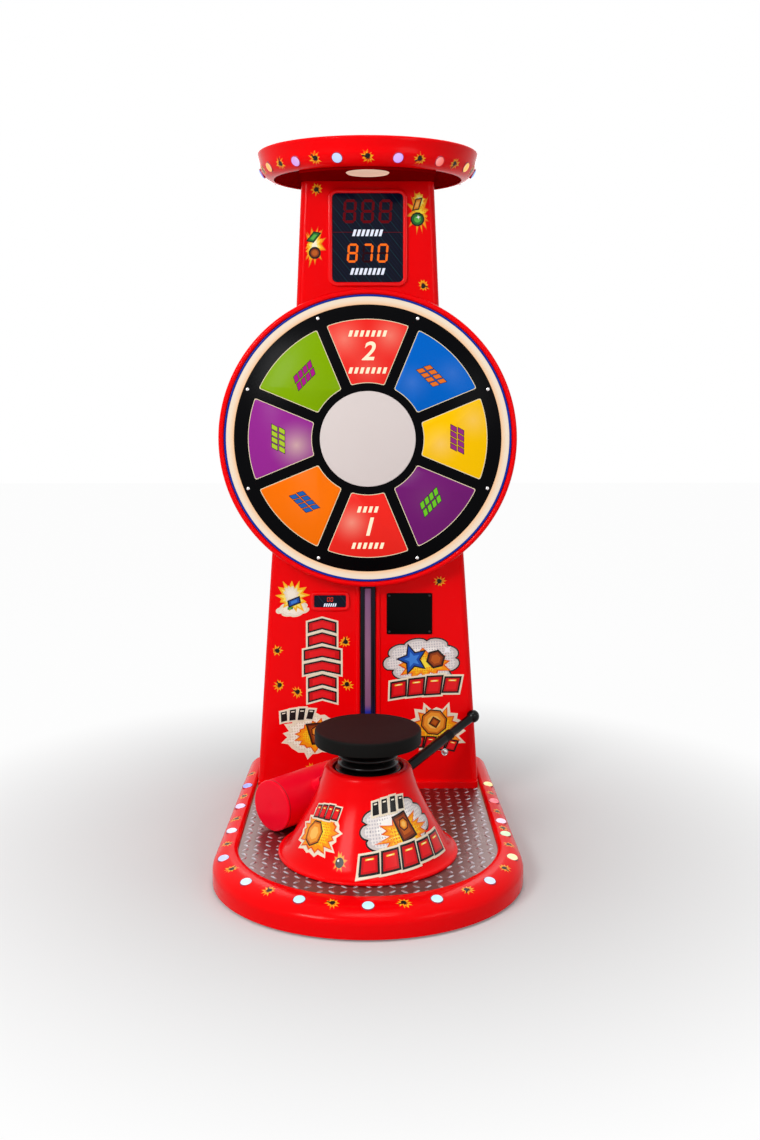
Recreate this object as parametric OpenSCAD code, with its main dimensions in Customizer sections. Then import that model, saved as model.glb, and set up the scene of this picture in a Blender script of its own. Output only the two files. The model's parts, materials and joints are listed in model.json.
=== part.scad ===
// High striker: an arcade hammer machine with a sprung strike pad, a lit prize wheel and a soft mallet.
// X points right, Y points away from the player and Z points up. The origin is the middle of the footprint.

/* [Base] */
// Depth of the base from its front edge to its rear edge
base_d = 1310; // [1250:5:1400]
// Half width of the base where its round front begins
base_half_w = 453; // [440:1:480]
// Length of the round front of the base
base_nose = 420; // [380:5:460]
// Half width of the base at its rear
base_rear_half_w = 425; // [415:1:445]
// Radius of the rear corners of the base
base_corner_r = 60; // [45:5:90]
// Gap between the floor and the lower edge of the base shell
base_lift = 6; // [3:1:9]
// Height of the rim's crown above the floor
rim_h = 84; // [80:1:90]
// Height at which the outer wall starts to roll over
rim_wall_h = 42; // [34:1:48]

/* [Deck] */
// Half width of the tread plate at the end of its round front
tread_half_w = 385; // [376:1:400]
// Length of the round front of the tread plate
tread_nose = 378; // [340:2:390]
// Distance from the base's front edge to the tread plate's front edge
tread_inset = 109; // [95:1:120]
// Half width of the tread plate at its rear
tread_rear_half_w = 377; // [376:1:382]
// Thickness of the tread plate with its raised bars
tread_t = 4; // [3:0.5:6]
// Thickness of the deck board
deck_t = 16; // [12:1:18]
// Height of the tread plate's top above the floor
tread_z = 70; // [66:1:72]
// Height of the rubber feet
foot_h = 10; // [7:1:16]
// Radius of the rubber feet
foot_r = 30; // [20:1:35]
// Width of the frame's steel tubes
tube_w = 50; // [40:2:60]

/* [Lamps] */
// Radius of the small coloured lamps
lamp_r = 18; // [12:0.5:20]
// Height of a lamp's domed face above the shell
lamp_dome = 6; // [3:0.5:8]
// Depth of a lamp behind its dome
lamp_body = 12; // [10:1:16]
// Gap between a lamp and its hole
lamp_gap = 0.3; // [0.2:0.1:0.6]

/* [Striker] */
// Distance from the base's front edge to the striker's axis
striker_from_front = 457; // [430:1:470]
// Height of the strike pad's top above the floor
pad_top_z = 435; // [425:1:460]
// Radius of the strike pad
pad_r = 157; // [150:1:165]
// Thickness of the strike pad
pad_t = 43; // [36:1:50]
// Thickness of the steel plate in the strike pad
pad_plate_t = 8; // [5:1:12]
// Radius of the plunger shaft
shaft_r = 20; // [16:1:22]
// Running gap between the shaft and its bush
shaft_gap = 0.05; // [0.03:0.01:0.1]
// Travel of the strike pad
stroke = 30; // [20:1:30]
// Radius of the bore of the striker post
post_bore_r = 30; // [29:0.5:34]
// Outer radius of the striker post
post_r = 45; // [40:1:55]
// Height of the cone's lip above the floor
cone_top_z = 323; // [318:1:330]
// Outer radius of the cone's foot
cone_foot_r = 265; // [258:1:268]
// Radius of the cone under its lip
cone_top_r = 130; // [126:1:140]
// Wall of the cone shell
cone_wall = 6; // [4:0.5:8]
// Outer radius of the bellows
bellows_r = 87; // [80:1:92]

/* [Cabinet] */
// Distance from the base's rear edge to the rear panel's outer face
rear_rim_w = 21; // [18:1:40]
// Depth of the cabinet
cabinet_d = 285; // [270:1:300]
// Wall of the cabinet shell
cabinet_wall = 5; // [4:0.5:8]
// Radius of the cabinet's front edges
cabinet_edge_r = 24; // [16:1:30]
// Half width of the cabinet at its foot
cabinet_foot_half_w = 375.5; // [370:0.5:376]
// Half width of the cabinet under the wheel
cabinet_knee_half_w = 326; // [318:1:334]
// Half width of the column above the wheel
column_half_w = 237; // [232:1:242]
// Half width of the column under the canopy
column_top_half_w = 219; // [216:1:222]
// How far the lower cabinet reaches above the wheel's lowest point
knee_rise = 48; // [30:1:80]
// How far the column begins below the wheel's highest point
column_drop = 57; // [40:1:90]
// Height of the step at the cabinet's foot
plinth_h = 25; // [18:1:32]
// Depth of the step at the cabinet's foot
plinth_d = 12; // [8:1:16]
// Thickness of the rear panel
rear_t = 4; // [3:0.5:5]

/* [Wheel] */
// Height of the wheel's centre above the floor
wheel_z = 1257; // [1250:1:1265]
// Outer radius of the wheel's housing
wheel_r = 490; // [485:1:500]
// Width of the rim bead
bead_w = 19; // [14:1:22]
// How far the face's backer stands off the cabinet
backer_h = 56; // [46:1:60]
// Thickness of the backer
backer_t = 6; // [4:1:8]
// Thickness of the black face and its panes
face_t = 6; // [4:0.5:8]
// Width of the blue ring inside the rim bead
blue_ring_w = 7; // [5:0.5:12]
// Width of the glowing ring inside the blue one
glow_ring_w = 26; // [20:1:34]
// Distance from the black face's edge to the coloured panes
pane_inset = 46; // [34:1:60]
// Inner radius of the coloured panes
pane_inner_r = 183; // [175:1:190]
// Width of the black spokes between the panes
spoke_w = 34; // [26:1:40]
// Radius of the hub disc
hub_r = 157; // [140:1:165]
// Number of panes
pane_count = 8; // [8:1:8]
// Distance from the black face's edge to its screws
screw_inset = 13; // [10:1:20]
// Gap around each pane and ring
pane_gap = 0.3; // [0.2:0.1:0.6]

/* [Canopy] */
// Radius of the canopy
canopy_r = 364; // [350:1:368]
// Distance from the base's rear edge to the canopy's axis
canopy_from_rear = 258; // [250:1:270]
// How far the soffit over the column reaches below the canopy
soffit_drop = 8; // [4:1:16]
// Height of the canopy's rim, from its underside to its top
canopy_h = 87; // [80:1:95]
// Wall of the canopy shell
canopy_wall = 5; // [4:0.5:7]
// Radius of the canopy's lower edge
canopy_fillet = 45; // [40:1:48]
// Draw of the canopy's side from its top to its fillet
canopy_draw = 8; // [4:1:12]
// Radius of the round lamp under the canopy
soffit_lamp_r = 63.5; // [50:0.5:70]
// Distance of that lamp in front of the canopy's axis
soffit_lamp_ahead = 235; // [200:1:240]

/* [Displays] */
// Width of the score display's bezel
display_w = 261; // [250:1:270]
// Height of the score display's bezel
display_h = 318; // [300:1:320]
// Gap between the wheel and the score display's bezel
display_gap = 10; // [6:1:20]
// Gap between the score display's bezel and the column's top
display_top_gap = 25; // [15:1:40]
// Width of the score display's frame
display_frame = 14; // [10:1:18]
// How far the bezels stand proud
bezel_h = 10; // [7:1:14]
// Thickness of the display panels
display_t = 5; // [3:0.5:6]
// Height of the score digits
score_digit_h = 75; // [60:1:80]
// Height of the record digits
record_digit_h = 59; // [50:1:62]
// Width of the credit display's bezel
credit_w = 131; // [120:1:134]
// Height of the credit display's bezel
credit_h = 65; // [58:1:70]
// Distance of the credit display's middle below the wheel's lowest point
credit_drop = 59; // [52:1:67]
// Distance of the credit display to the left of the middle
credit_x = 127; // [122:1:135]

/* [Front panel] */
// Width of the light strip's channel
strip_w = 49; // [40:1:54]
// Width of the light strip's core
strip_core_w = 22; // [16:1:28]
// Height of the strip's lower end above the floor
strip_z = 300; // [280:5:340]
// Gap between the wheel's lowest point and the strip
strip_gap = 3; // [2:1:20]
// How far the strip stands proud
strip_h = 12; // [8:1:14]
// Width of the black cover plate
plate_w = 153; // [140:1:156]
// Height of the black cover plate
plate_h = 140; // [130:1:150]
// Distance of the cover plate's middle below the wheel's lowest point
plate_drop = 102; // [90:1:120]
// Distance of the cover plate to the right of the middle
plate_x = 139.5; // [135:0.5:150]
// Thickness of the cover plate
plate_t = 3; // [2:0.5:4]
// Radius of the key lock's barrel
lock_r = 9.5; // [8:0.5:11]
// Distance of the key lock to the right of the middle
lock_x = 260; // [240:1:280]
// Height of the key lock above the floor
lock_z = 190; // [170:1:220]

/* [Service door] */
// Width of the door opening in the rear panel
door_open_w = 420; // [380:5:430]
// Height of the door opening
door_open_h = 560; // [480:5:580]
// Height of the opening's lower edge above the floor
door_z = 150; // [140:1:180]
// How far the door covers the rear panel at its edges
door_lap = 6; // [4:0.5:9]
// Thickness of the door
door_t = 3; // [2:0.5:3.5]
// Radius of the hinge pin
pin_r = 3; // [2.5:0.1:3.2]
// Outer radius of the hinge knuckles
knuckle_r = 5.5; // [5:0.1:6]
// Running gap of the hinge pin and of the lock barrels
pin_gap = 0.05; // [0.03:0.01:0.1]

/* [Mallet] */
// Radius of the mallet's head
head_r = 78; // [74:1:79]
// Length of the mallet's head
head_len = 280; // [240:5:290]
// Turn of the head's length from the X axis
head_turn = 47; // [44:1:50]
// Thickness of the head's end caps
cap_t = 10; // [6:1:14]
// Radius of the handle and of its rubber neck
handle_r = 17; // [15:0.5:18]
// Radius of the grip
grip_r = 14.2; // [12:0.2:14.2]
// Length of the handle below the grip
handle_len = 308; // [280:2:320]
// Radius of the ball at the grip's end
ball_r = 21.5; // [19:0.5:22]
// Gap between the mallet and the tread plate
rest_gap = 0.3; // [0.2:0.1:0.5]

/* [Hidden] */
$fn = 96;

// Places worked out from the sizes above
front_y = -base_d / 2;
rear_y = base_d / 2;
rear_face_y = rear_y - rear_rim_w;
cabinet_rear_y = rear_face_y - rear_t;
cabinet_y = cabinet_rear_y - cabinet_d;
striker_y = front_y + striker_from_front;
canopy_y = rear_y - canopy_from_rear;
wheel_low_z = wheel_z - wheel_r;
wheel_high_z = wheel_z + wheel_r;
knee_z = wheel_low_z + knee_rise;
column_z = wheel_high_z - column_drop;
display_z = wheel_high_z + display_gap + display_h / 2;
column_top_z = display_z + display_h / 2 + display_top_gap;
canopy_z = column_top_z + soffit_drop;
total_h = canopy_z + canopy_h;
credit_z = wheel_low_z - credit_drop;
plate_z = wheel_low_z - plate_drop;
strip_top_z = wheel_low_z - strip_gap;
deck_top_z = tread_z - tread_t;
deck_z = deck_top_z - deck_t;
face_z = backer_h + backer_t;

// Steps along the round front and the corners of the base outline
nose_steps = 40;
corner_steps = 5;
// Share of the rim's width at which its inner lip begins
lip_share = 0.93;

// Outline of the base and of the recess for the deck, with as many points each
function outline(a, b, nose_y, rear_half, back_y, corner) = concat(
    [for (i = [0:nose_steps]) let(t = 180 + 180 * i / nose_steps) [a * cos(t), nose_y + b * sin(t)]],
    [for (i = [0:corner_steps]) let(t = 90 * i / corner_steps)
        [rear_half - corner + corner * cos(t), back_y - corner + corner * sin(t)]],
    [for (i = [0:corner_steps]) let(t = 90 + 90 * i / corner_steps)
        [corner - rear_half + corner * cos(t), back_y - corner + corner * sin(t)]]);
base_nose_y = front_y + base_nose;
tread_nose_y = front_y + tread_inset + tread_nose;
recess_rear_y = rear_face_y + pane_gap;
recess_corner_r = 1;
outer_line = outline(base_half_w, base_nose, base_nose_y, base_rear_half_w, rear_y, base_corner_r);
inner_line = outline(tread_half_w, tread_nose, tread_nose_y, tread_rear_half_w, recess_rear_y,
    recess_corner_r);
function between(p, q, share) = [for (i = [0:len(p) - 1]) p[i] * (1 - share) + q[i] * share];

// The rim's outer surface from the floor to the recess, as pairs of share of the width and height
rim_roll = rim_h - rim_wall_h;
rim_curve = concat([[0, base_lift]],
    [for (a = [0:15:90]) [0.72 * (1 - cos(a)), rim_wall_h + rim_roll * pow(sin(a), 0.9)]],
    [[0.86, rim_h - 1], [0.95, rim_h - 4], [1, rim_h - 10], [1, deck_top_z]]);
rim_under = [[lip_share, deck_top_z], [0.9, rim_h - 13], [0.72, rim_h - 8], [0.45, rim_h - 12],
    [0.22, rim_h - 22], [0.1, rim_wall_h], [0.09, base_lift]];

// A closed band between two outlines, from a profile of shares and heights
module band(profile, p, q) {
    n = len(p);
    m = len(profile);
    points = [for (s = profile) for (xy = between(p, q, s[0])) [xy[0], xy[1], s[1]]];
    faces = [for (j = [0:m - 1]) for (i = [0:n - 1])
        let(a = j * n + i, b = j * n + (i + 1) % n, c = ((j + 1) % m) * n + (i + 1) % n,
            d = ((j + 1) % m) * n + i)
        each [[a, d, c], [a, c, b]]];
    polyhedron(points, faces);
}

// A solid through level rings that all have as many points
module loft(rings) {
    n = len(rings[0]);
    m = len(rings);
    points = [for (r = rings) each r];
    sides = [for (j = [0:m - 2]) for (i = [0:n - 1])
        let(a = j * n + i, b = j * n + (i + 1) % n)
        each [[a, a + n, b + n], [a, b + n, b]]];
    polyhedron(points, concat(sides, [[for (i = [0:n - 1]) i]],
        [[for (i = [n - 1:-1:0]) (m - 1) * n + i]]));
}

// A rectangle with round corners, about the origin
module round_rect(w, h, r) {
    square([w - 2 * r, h], center = true);
    square([w, h - 2 * r], center = true);
    for (x = [-1, 1], y = [-1, 1]) translate([x * (w / 2 - r), y * (h / 2 - r)]) circle(r);
}

// Puts a part drawn in X and Y on the cabinet's front face, with its own Z towards the player
module on_front(x, z) translate([x, cabinet_y, z]) rotate([90, 0, 0]) children();

// Puts a part drawn in X and Y on the rear panel, with its own Z towards the rear
module on_rear(x, z) translate([x, rear_face_y, z]) rotate([-90, 0, 0]) children();

// A domed lamp with its face at the origin, looking along Z
module lamp() {
    rotate_extrude($fn = 24) polygon(concat([[0, -lamp_body], [lamp_r, -lamp_body], [lamp_r, 0]],
        [for (a = [15:15:90]) [lamp_r * cos(a), lamp_dome * sin(a)]]));
}

// Lamps of the base: steps round the nose, then shares of the way along each side
nose_lamps = [-78, -52, -25.5, 0, 25.5, 52, 78];
left_lamps = [0.14, 0.40, 0.64];
right_lamps = [0.10, 0.23, 0.45, 0.65];
nose_lamp_share = 0.40;
side_lamp_share = 0.52;
side_rear_y = [rear_y - base_corner_r, recess_rear_y - recess_corner_r];
function rim_z(share) = lookup(share, [for (k = [1:len(rim_curve) - 3]) rim_curve[k]]);
function nose_spot(t, share) = [sin(t) * (base_half_w * (1 - share) + tread_half_w * share),
    (base_nose_y - base_nose * cos(t)) * (1 - share) + (tread_nose_y - tread_nose * cos(t)) * share];
function side_spot(s, share) =
    let(p = [base_half_w, base_nose_y] * (1 - s) + [base_rear_half_w, side_rear_y[0]] * s,
        q = [tread_half_w, tread_nose_y] * (1 - s) + [tread_rear_half_w, side_rear_y[1]] * s)
    p * (1 - share) + q * share;
function slope(p, q, share) = atan((rim_z(share + 0.05) - rim_z(share - 0.05)) / norm(q - p));

// Moves a lamp or its hole to a spot of the rim, tipped outwards to suit the surface
module at_spot(p, q, share) {
    spot = p * (1 - share) + q * share;
    away = p - q;
    translate([spot[0], spot[1], rim_z(share)])
        rotate([0, 0, atan2(away[1], away[0])])
        rotate([0, slope(p * 0.95 + q * 0.05, p * 0.85 + q * 0.15, share), 0])
        children();
}
module at_base_lamps() {
    for (t = nose_lamps) at_spot(nose_spot(t, 0), nose_spot(t, 1), nose_lamp_share) children();
    for (s = right_lamps) at_spot(side_spot(s, 0), side_spot(s, 1), side_lamp_share) children();
    for (s = left_lamps)
        mirror([1, 0, 0]) at_spot(side_spot(s, 0), side_spot(s, 1), side_lamp_share) children();
}

module base_shell() {
    color("red") difference() {
        band(concat(rim_curve, rim_under), outer_line, inner_line);
        at_base_lamps() translate([0, 0, -2 * lamp_body]) cylinder(h = 3 * lamp_body, r = lamp_r + lamp_gap);
    }
}

// Welded floor frame of square steel tube, under the deck board
rail_x = 300;
rail_front_inset = 210;
rail_rear_inset = 60;
cross_tube_behind = 190;
rail_front_y = front_y + rail_front_inset;
rail_rear_y = rear_y - rail_rear_inset;
tube_h = deck_z - foot_h;
foot_ys = [rail_front_y + tube_w / 2, striker_y + cross_tube_behind, rail_rear_y - tube_w / 2];
module floor_frame() {
    color("dimgray") translate([0, 0, foot_h]) {
        for (x = [-rail_x, rail_x]) translate([x - tube_w / 2, rail_front_y, 0])
            cube([tube_w, rail_rear_y - rail_front_y, tube_h]);
        for (y = concat(foot_ys, [striker_y])) translate([-rail_x, y - tube_w / 2, 0])
            cube([2 * rail_x, tube_w, tube_h]);
    }
}
module rubber_feet() {
    color("black") for (x = [-rail_x, rail_x], y = foot_ys) translate([x, y, 0])
        rotate_extrude($fn = 32) polygon([[0, 0], [foot_r - 3, 0], [foot_r, 3], [foot_r - 2, foot_h],
            [0, foot_h]]);
}

// The deck board reaches under the rim's lip, and the tread plate lies in the recess
flange_r = 100;
flange_t = 10;
module deck_board() {
    color("burlywood") translate([0, 0, deck_z]) linear_extrude(deck_t)
        polygon(between(outer_line, inner_line, lip_share - 0.03));
}
module tread_plate() {
    color("silver") translate([0, 0, deck_top_z]) linear_extrude(tread_t) difference() {
        intersection() {
            polygon(between(outer_line, inner_line, 1.01));
            translate([-base_half_w, front_y]) square([2 * base_half_w,
                cabinet_y - front_y - plinth_d - pane_gap]);
        }
        translate([0, striker_y]) circle(flange_r + 2);
    }
}
module base_lamps() {
    color("white") at_base_lamps() lamp();
}

// Striker: a steel post with a bush guides the plunger, and a spring holds the pad up
pad_z = pad_top_z - pad_t;
post_top_z = cone_top_z - 15;
post_flange_t = 8;
post_flange_r = 98;
bush_flange_t = 4;
bush_flange_r = 38;
bush_len = 80;
collar_t = 16;
collar_r = post_bore_r - 2;
sensor_t = 4;
sensor_r = post_bore_r - 4;
post_floor_z = deck_top_z + flange_t;
shaft_z = post_floor_z + sensor_t + 2 + stroke;
stud_r = 8;
seat_gap = 0.3;
module at_striker(z) translate([0, striker_y, z]) children();
module ring(h, r, hole_r) {
    difference() {
        cylinder(h = h, r = r);
        translate([0, 0, -1]) cylinder(h = h + 2, r = hole_r);
    }
}

cone_foot_t = 5;
cone_foot_edge = 5;
cone_h = cone_top_z - tread_z;
// The bell's side runs from the foot's hollow curve, at mid, up to the neck under the rounded lip
cone_mid_h = 34;
cone_mid_r = cone_foot_r - 35;
cone_neck_h = cone_h - 45;
cone_neck_r = cone_top_r + 11;
cone_bell = 1.2;
cone_steps = 8;
cone_lip_r = 103;
cone_lean = cone_bell * (cone_mid_r - cone_neck_r) / (cone_neck_h - cone_mid_h);
function cone_side(inset, t) = [cone_neck_r - inset + (cone_mid_r - cone_neck_r) * pow(1 - t, cone_bell),
    cone_mid_h + (cone_neck_h - cone_mid_h) * t];
function cone_hollow(t) = pow(1 - t, 2) * [cone_foot_r - cone_foot_edge, cone_foot_t + 2]
    + 2 * t * (1 - t) * [cone_mid_r + cone_lean * (cone_mid_h - cone_foot_t - 4), cone_foot_t + 4]
    + pow(t, 2) * [cone_mid_r, cone_mid_h];
cone_curve = concat([[cone_foot_r, 0], [cone_foot_r, cone_foot_t]],
    [for (i = [0:cone_steps - 1]) cone_hollow(i / cone_steps)],
    [for (i = [0:cone_steps]) cone_side(0, i / cone_steps)],
    [[cone_top_r, cone_h - 16],
        [cone_top_r - 2, cone_h - 6], [cone_top_r - 7, cone_h - 1], [cone_top_r - 13, cone_h]]);
module cone_shell() {
    color("red") at_striker(tread_z) rotate_extrude() polygon(concat(cone_curve,
        [[cone_lip_r + 4, cone_h], [cone_lip_r, cone_h - 4], [cone_lip_r, cone_h - 22],
            [cone_lip_r + cone_wall, cone_h - 22], [cone_lip_r + cone_wall, cone_h - 8],
            [cone_top_r - cone_wall - 3, cone_h - 12]],
        [for (i = [cone_steps:-2:0]) cone_side(1.15 * cone_wall, i / cone_steps)],
        [[cone_mid_r + 11 - cone_wall, cone_foot_t + 6], [cone_mid_r + 18 - cone_wall, 0]]));
}
// The post is a tube welded between a base plate and a top flange
module post_base() {
    color("gray") at_striker(deck_top_z) cylinder(h = flange_t, r = flange_r);
}
module striker_post() {
    tube_len = post_top_z - post_flange_t - post_floor_z;
    color("gray") at_striker(post_floor_z) ring(tube_len, post_r, post_bore_r);
}
module post_flange() {
    color("gray") at_striker(post_top_z - post_flange_t) ring(post_flange_t, post_flange_r, post_bore_r);
}
module guide_bush() {
    color("goldenrod") difference() {
        union() {
            at_striker(post_top_z - bush_len) cylinder(h = bush_len, r = post_bore_r - shaft_gap);
            at_striker(post_top_z) cylinder(h = bush_flange_t, r = bush_flange_r);
        }
        at_striker(post_top_z - bush_len - 1) cylinder(h = bush_len + 10, r = shaft_r + shaft_gap);
    }
}
module impact_sensor() {
    color("darkgreen") at_striker(post_floor_z) cylinder(h = sensor_t, r = sensor_r);
}
spring_wall = 8;
module return_spring() {
    z = post_top_z + bush_flange_t;
    color("lightgray") at_striker(z) difference() {
        cylinder(h = pad_z - z - seat_gap, r = shaft_r + 3 + spring_wall);
        translate([0, 0, -1]) cylinder(h = pad_z, r = shaft_r + 3);
    }
}

// Bellows with a skirt that fills the cone's mouth and two deep folds
bellows_wall = 3;
bellows_folds = 3;
module bellows() {
    z0 = post_top_z;
    skirt_h = 10;
    run = pad_z - seat_gap - z0 - skirt_h;
    fold = 11;
    steps = 6 * bellows_folds;
    wave = [for (i = [0:steps])
        [bellows_r - fold / 2 + fold / 2 * cos(360 * i / 6), skirt_h + run * i / steps]];
    color([0.06, 0.06, 0.07]) at_striker(z0) rotate_extrude() polygon(concat(
        [[bellows_r - 20, 0], [post_flange_r, 0], [post_flange_r, skirt_h - 2], [post_flange_r - 2, skirt_h]],
        wave,
        [for (i = [steps:-1:0]) [wave[i][0] - bellows_wall, wave[i][1]]], [[bellows_r - 20, skirt_h - 4]]));
}
pad_plate_r = 145;
module pad_plate() {
    color("dimgray") at_striker(pad_z) difference() {
        cylinder(h = pad_plate_t, r = pad_plate_r);
        translate([0, 0, -1]) cylinder(h = pad_plate_t + 2, r = stud_r + pin_gap);
    }
}
module strike_pad() {
    round_r = 7;
    color([0.12, 0.11, 0.11]) at_striker(pad_z) rotate_extrude() polygon(concat(
        [[pad_plate_r + pane_gap, 0], [pad_r - 2, 0], [pad_r, 2]],
        [for (a = [0:15:90]) [pad_r - round_r + round_r * cos(a), pad_t - round_r + round_r * sin(a)]],
        [[0, pad_t], [0, pad_plate_t], [pad_plate_r + pane_gap, pad_plate_t]]));
}
module plunger_shaft() {
    color("silver") {
        at_striker(shaft_z) cylinder(h = pad_z - shaft_z, r = shaft_r);
        at_striker(pad_z - 1) cylinder(h = pad_plate_t - 1, r = stud_r);
    }
}
module stop_collar() {
    color("darkgray") at_striker(post_top_z - bush_len - collar_t - seat_gap) difference() {
        cylinder(h = collar_t, r = collar_r);
        translate([0, 0, -1]) cylinder(h = collar_t + 2, r = shaft_r + shaft_gap);
    }
}

// Half width of the cabinet at a height: two straight tapers joined by a smooth waist
lower_taper = (cabinet_knee_half_w - cabinet_foot_half_w) / (knee_z - deck_top_z);
upper_taper = (column_top_half_w - column_half_w) / (column_top_z - column_z);
function waist(t, run) = (2 * t * t * t - 3 * t * t + 1) * cabinet_knee_half_w
    + (t * t * t - 2 * t * t + t) * run * lower_taper
    + (3 * t * t - 2 * t * t * t) * column_half_w + (t * t * t - t * t) * run * upper_taper;
function half_w(z) = z < knee_z ? cabinet_knee_half_w + lower_taper * (z - knee_z)
    : z > column_z ? column_half_w + upper_taper * (z - column_z)
    : waist((z - knee_z) / (column_z - knee_z), column_z - knee_z);
waist_steps = 12;
waist_zs = [for (i = [0:waist_steps]) knee_z + (column_z - knee_z) * i / waist_steps];
function cabinet_ring(z, inset, back) = let(w = half_w(z) - inset, r = cabinet_edge_r - inset,
    y = cabinet_y + inset)
    concat([[-w, back, z]],
        [for (a = [180:18:270]) [r - w + r * cos(a), y + r + r * sin(a), z]],
        [for (a = [270:18:360]) [w - r + r * cos(a), y + r + r * sin(a), z]],
        [[w, back, z]]);
door_mid_z = door_z + door_open_h / 2;
rib_w = 8;
rib_h = 7;
credit_frame = 9;
// How far a display panel or the cover plate reaches past the hole behind it
display_seat = 21;
credit_seat = 6.5;
plate_seat = 25;
wire_hole_r = 50;
module wall_hole(x, z, w, h) on_front(x, z) translate([0, 0, -60]) linear_extrude(70)
    square([w, h], center = true);
module cabinet_shell() {
    color("red") difference() {
        union() {
            loft([for (z = concat([deck_top_z], waist_zs, [column_top_z]))
                cabinet_ring(z, 0, cabinet_rear_y)]);
            translate([0, cabinet_y - plinth_d, deck_top_z])
                linear_extrude(plinth_h) translate([0, cabinet_edge_r + plinth_d])
                round_rect(2 * half_w(deck_top_z + plinth_h) - 1, 2 * (cabinet_edge_r + plinth_d), 20);
            for (s = [-1, 1]) on_front(s * (strip_w + rib_w + 1) / 2, (strip_z + strip_top_z) / 2)
                linear_extrude(rib_h) round_rect(rib_w, strip_top_z - strip_z, 2);
        }
        loft([for (z = concat([deck_top_z - 1], waist_zs, [column_top_z - cabinet_wall]))
            cabinet_ring(z, cabinet_wall, cabinet_rear_y + 1)]);
        wall_hole(0, display_z, display_w - 2 * (display_frame + display_seat),
            display_h - 2 * (display_frame + display_seat));
        wall_hole(-credit_x, credit_z, credit_w - 2 * (credit_frame + credit_seat),
            credit_h - 2 * (credit_frame + credit_seat));
        wall_hole(plate_x, plate_z, plate_w - 2 * plate_seat, plate_h - 2 * plate_seat);
        on_front(0, wheel_z) translate([0, 0, -60]) cylinder(h = 70, r = wire_hole_r);
        on_front(lock_x, lock_z) translate([0, 0, -60]) cylinder(h = 70, r = lock_r + pin_gap);
    }
}

// Rear panel with the door opening, cooling slots and the power inlet's hole
inlet_x = 280;
inlet_z = 150;
inlet_w = 50;
inlet_h = 76;
slot_w = 150;
slot_h = 8;
slot_pitch = 24;
slot_rise = 243;
slot_zs = [for (i = [0:7]) wheel_z + slot_rise + slot_pitch * i];
module rear_panel() {
    zs = concat([deck_top_z], waist_zs, [column_top_z]);
    color([0.16, 0.16, 0.17]) translate([0, rear_face_y, 0]) rotate([90, 0, 0]) linear_extrude(rear_t)
        difference() {
            polygon(concat([for (z = zs) [half_w(z), z]],
                [for (i = [len(zs) - 1:-1:0]) [-half_w(zs[i]), zs[i]]]));
            translate([0, door_mid_z]) square([door_open_w, door_open_h], center = true);
            for (z = slot_zs) translate([0, z]) round_rect(slot_w, slot_h, 3.9);
            translate([inlet_x, inlet_z]) square([inlet_w + 0.4, inlet_h + 0.4], center = true);
        }
}

// Service door on a knuckle hinge at its left edge, seen from the rear at its right
hinge_x = -(door_open_w / 2 + 14);
hinge_y = rear_face_y + knuckle_r + 0.3;
knuckle_len = 50;
knuckle_gap = 0.5;
knuckle_zs = [for (i = [-2:2]) door_mid_z + i * (knuckle_len + knuckle_gap)];
leaf_t = 2;
leaf_w = 30;
strap_w = 20;
door_lock_x = door_open_w / 2 - 22;
door_w = door_open_w / 2 + door_lap - hinge_x - 8;
module knuckle(z) translate([hinge_x, hinge_y, z - knuckle_len / 2]) cylinder(h = knuckle_len, r = knuckle_r);
module pin_bore() translate([hinge_x, hinge_y, door_z]) cylinder(h = door_open_h, r = pin_r + pin_gap);
module service_door() {
    color([0.2, 0.2, 0.21]) difference() {
        union() {
            translate([hinge_x + 8, rear_face_y + 0.3, door_z - door_lap])
                cube([door_w, door_t, door_open_h + 2 * door_lap]);
            for (i = [1, 3]) {
                knuckle(knuckle_zs[i]);
                translate([hinge_x, rear_face_y + door_t, knuckle_zs[i] - knuckle_len / 2])
                    cube([leaf_w, leaf_t, knuckle_len]);
            }
        }
        pin_bore();
        translate([door_lock_x, rear_face_y - 1, door_mid_z]) rotate([-90, 0, 0])
            cylinder(h = 10, r = lock_r + pin_gap);
    }
}
module door_hinge() {
    color("gray") difference() {
        union() {
            for (i = [0, 2, 4]) {
                knuckle(knuckle_zs[i]);
                translate([hinge_x - leaf_w, rear_face_y, knuckle_zs[i] - knuckle_len / 2])
                    cube([leaf_w, leaf_t, knuckle_len]);
            }
            translate([hinge_x - leaf_w, rear_face_y, knuckle_zs[0] - knuckle_len / 2])
                cube([strap_w, leaf_t, knuckle_zs[4] - knuckle_zs[0] + knuckle_len]);
        }
        pin_bore();
    }
}
module hinge_pin() {
    color("silver") translate([hinge_x, hinge_y, knuckle_zs[0] - knuckle_len / 2])
        cylinder(h = knuckle_zs[4] - knuckle_zs[0] + knuckle_len, r = pin_r);
}

// Quarter-turn lock of the door: the cam hangs down when it is open and turns behind the panel
cam_len = 34;
cam_t = 3;
module door_lock() {
    color("silver") translate([door_lock_x, rear_face_y, door_mid_z]) {
        difference() {
            rotate([-90, 0, 0]) translate([0, 0, -rear_t - 5]) {
                cylinder(h = rear_t + 5 + door_t + 2.6, r = lock_r);
                translate([0, 0, rear_t + 5 + door_t + 0.6]) cylinder(h = 3, r = lock_r + 4);
            }
            translate([-0.8, door_t + 2, -5]) cube([1.6, 4, 10]);
        }
        translate([-lock_r + 3, -rear_t - 1 - cam_t, -cam_len]) cube([2 * lock_r - 6, cam_t, cam_len]);
    }
}

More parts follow.
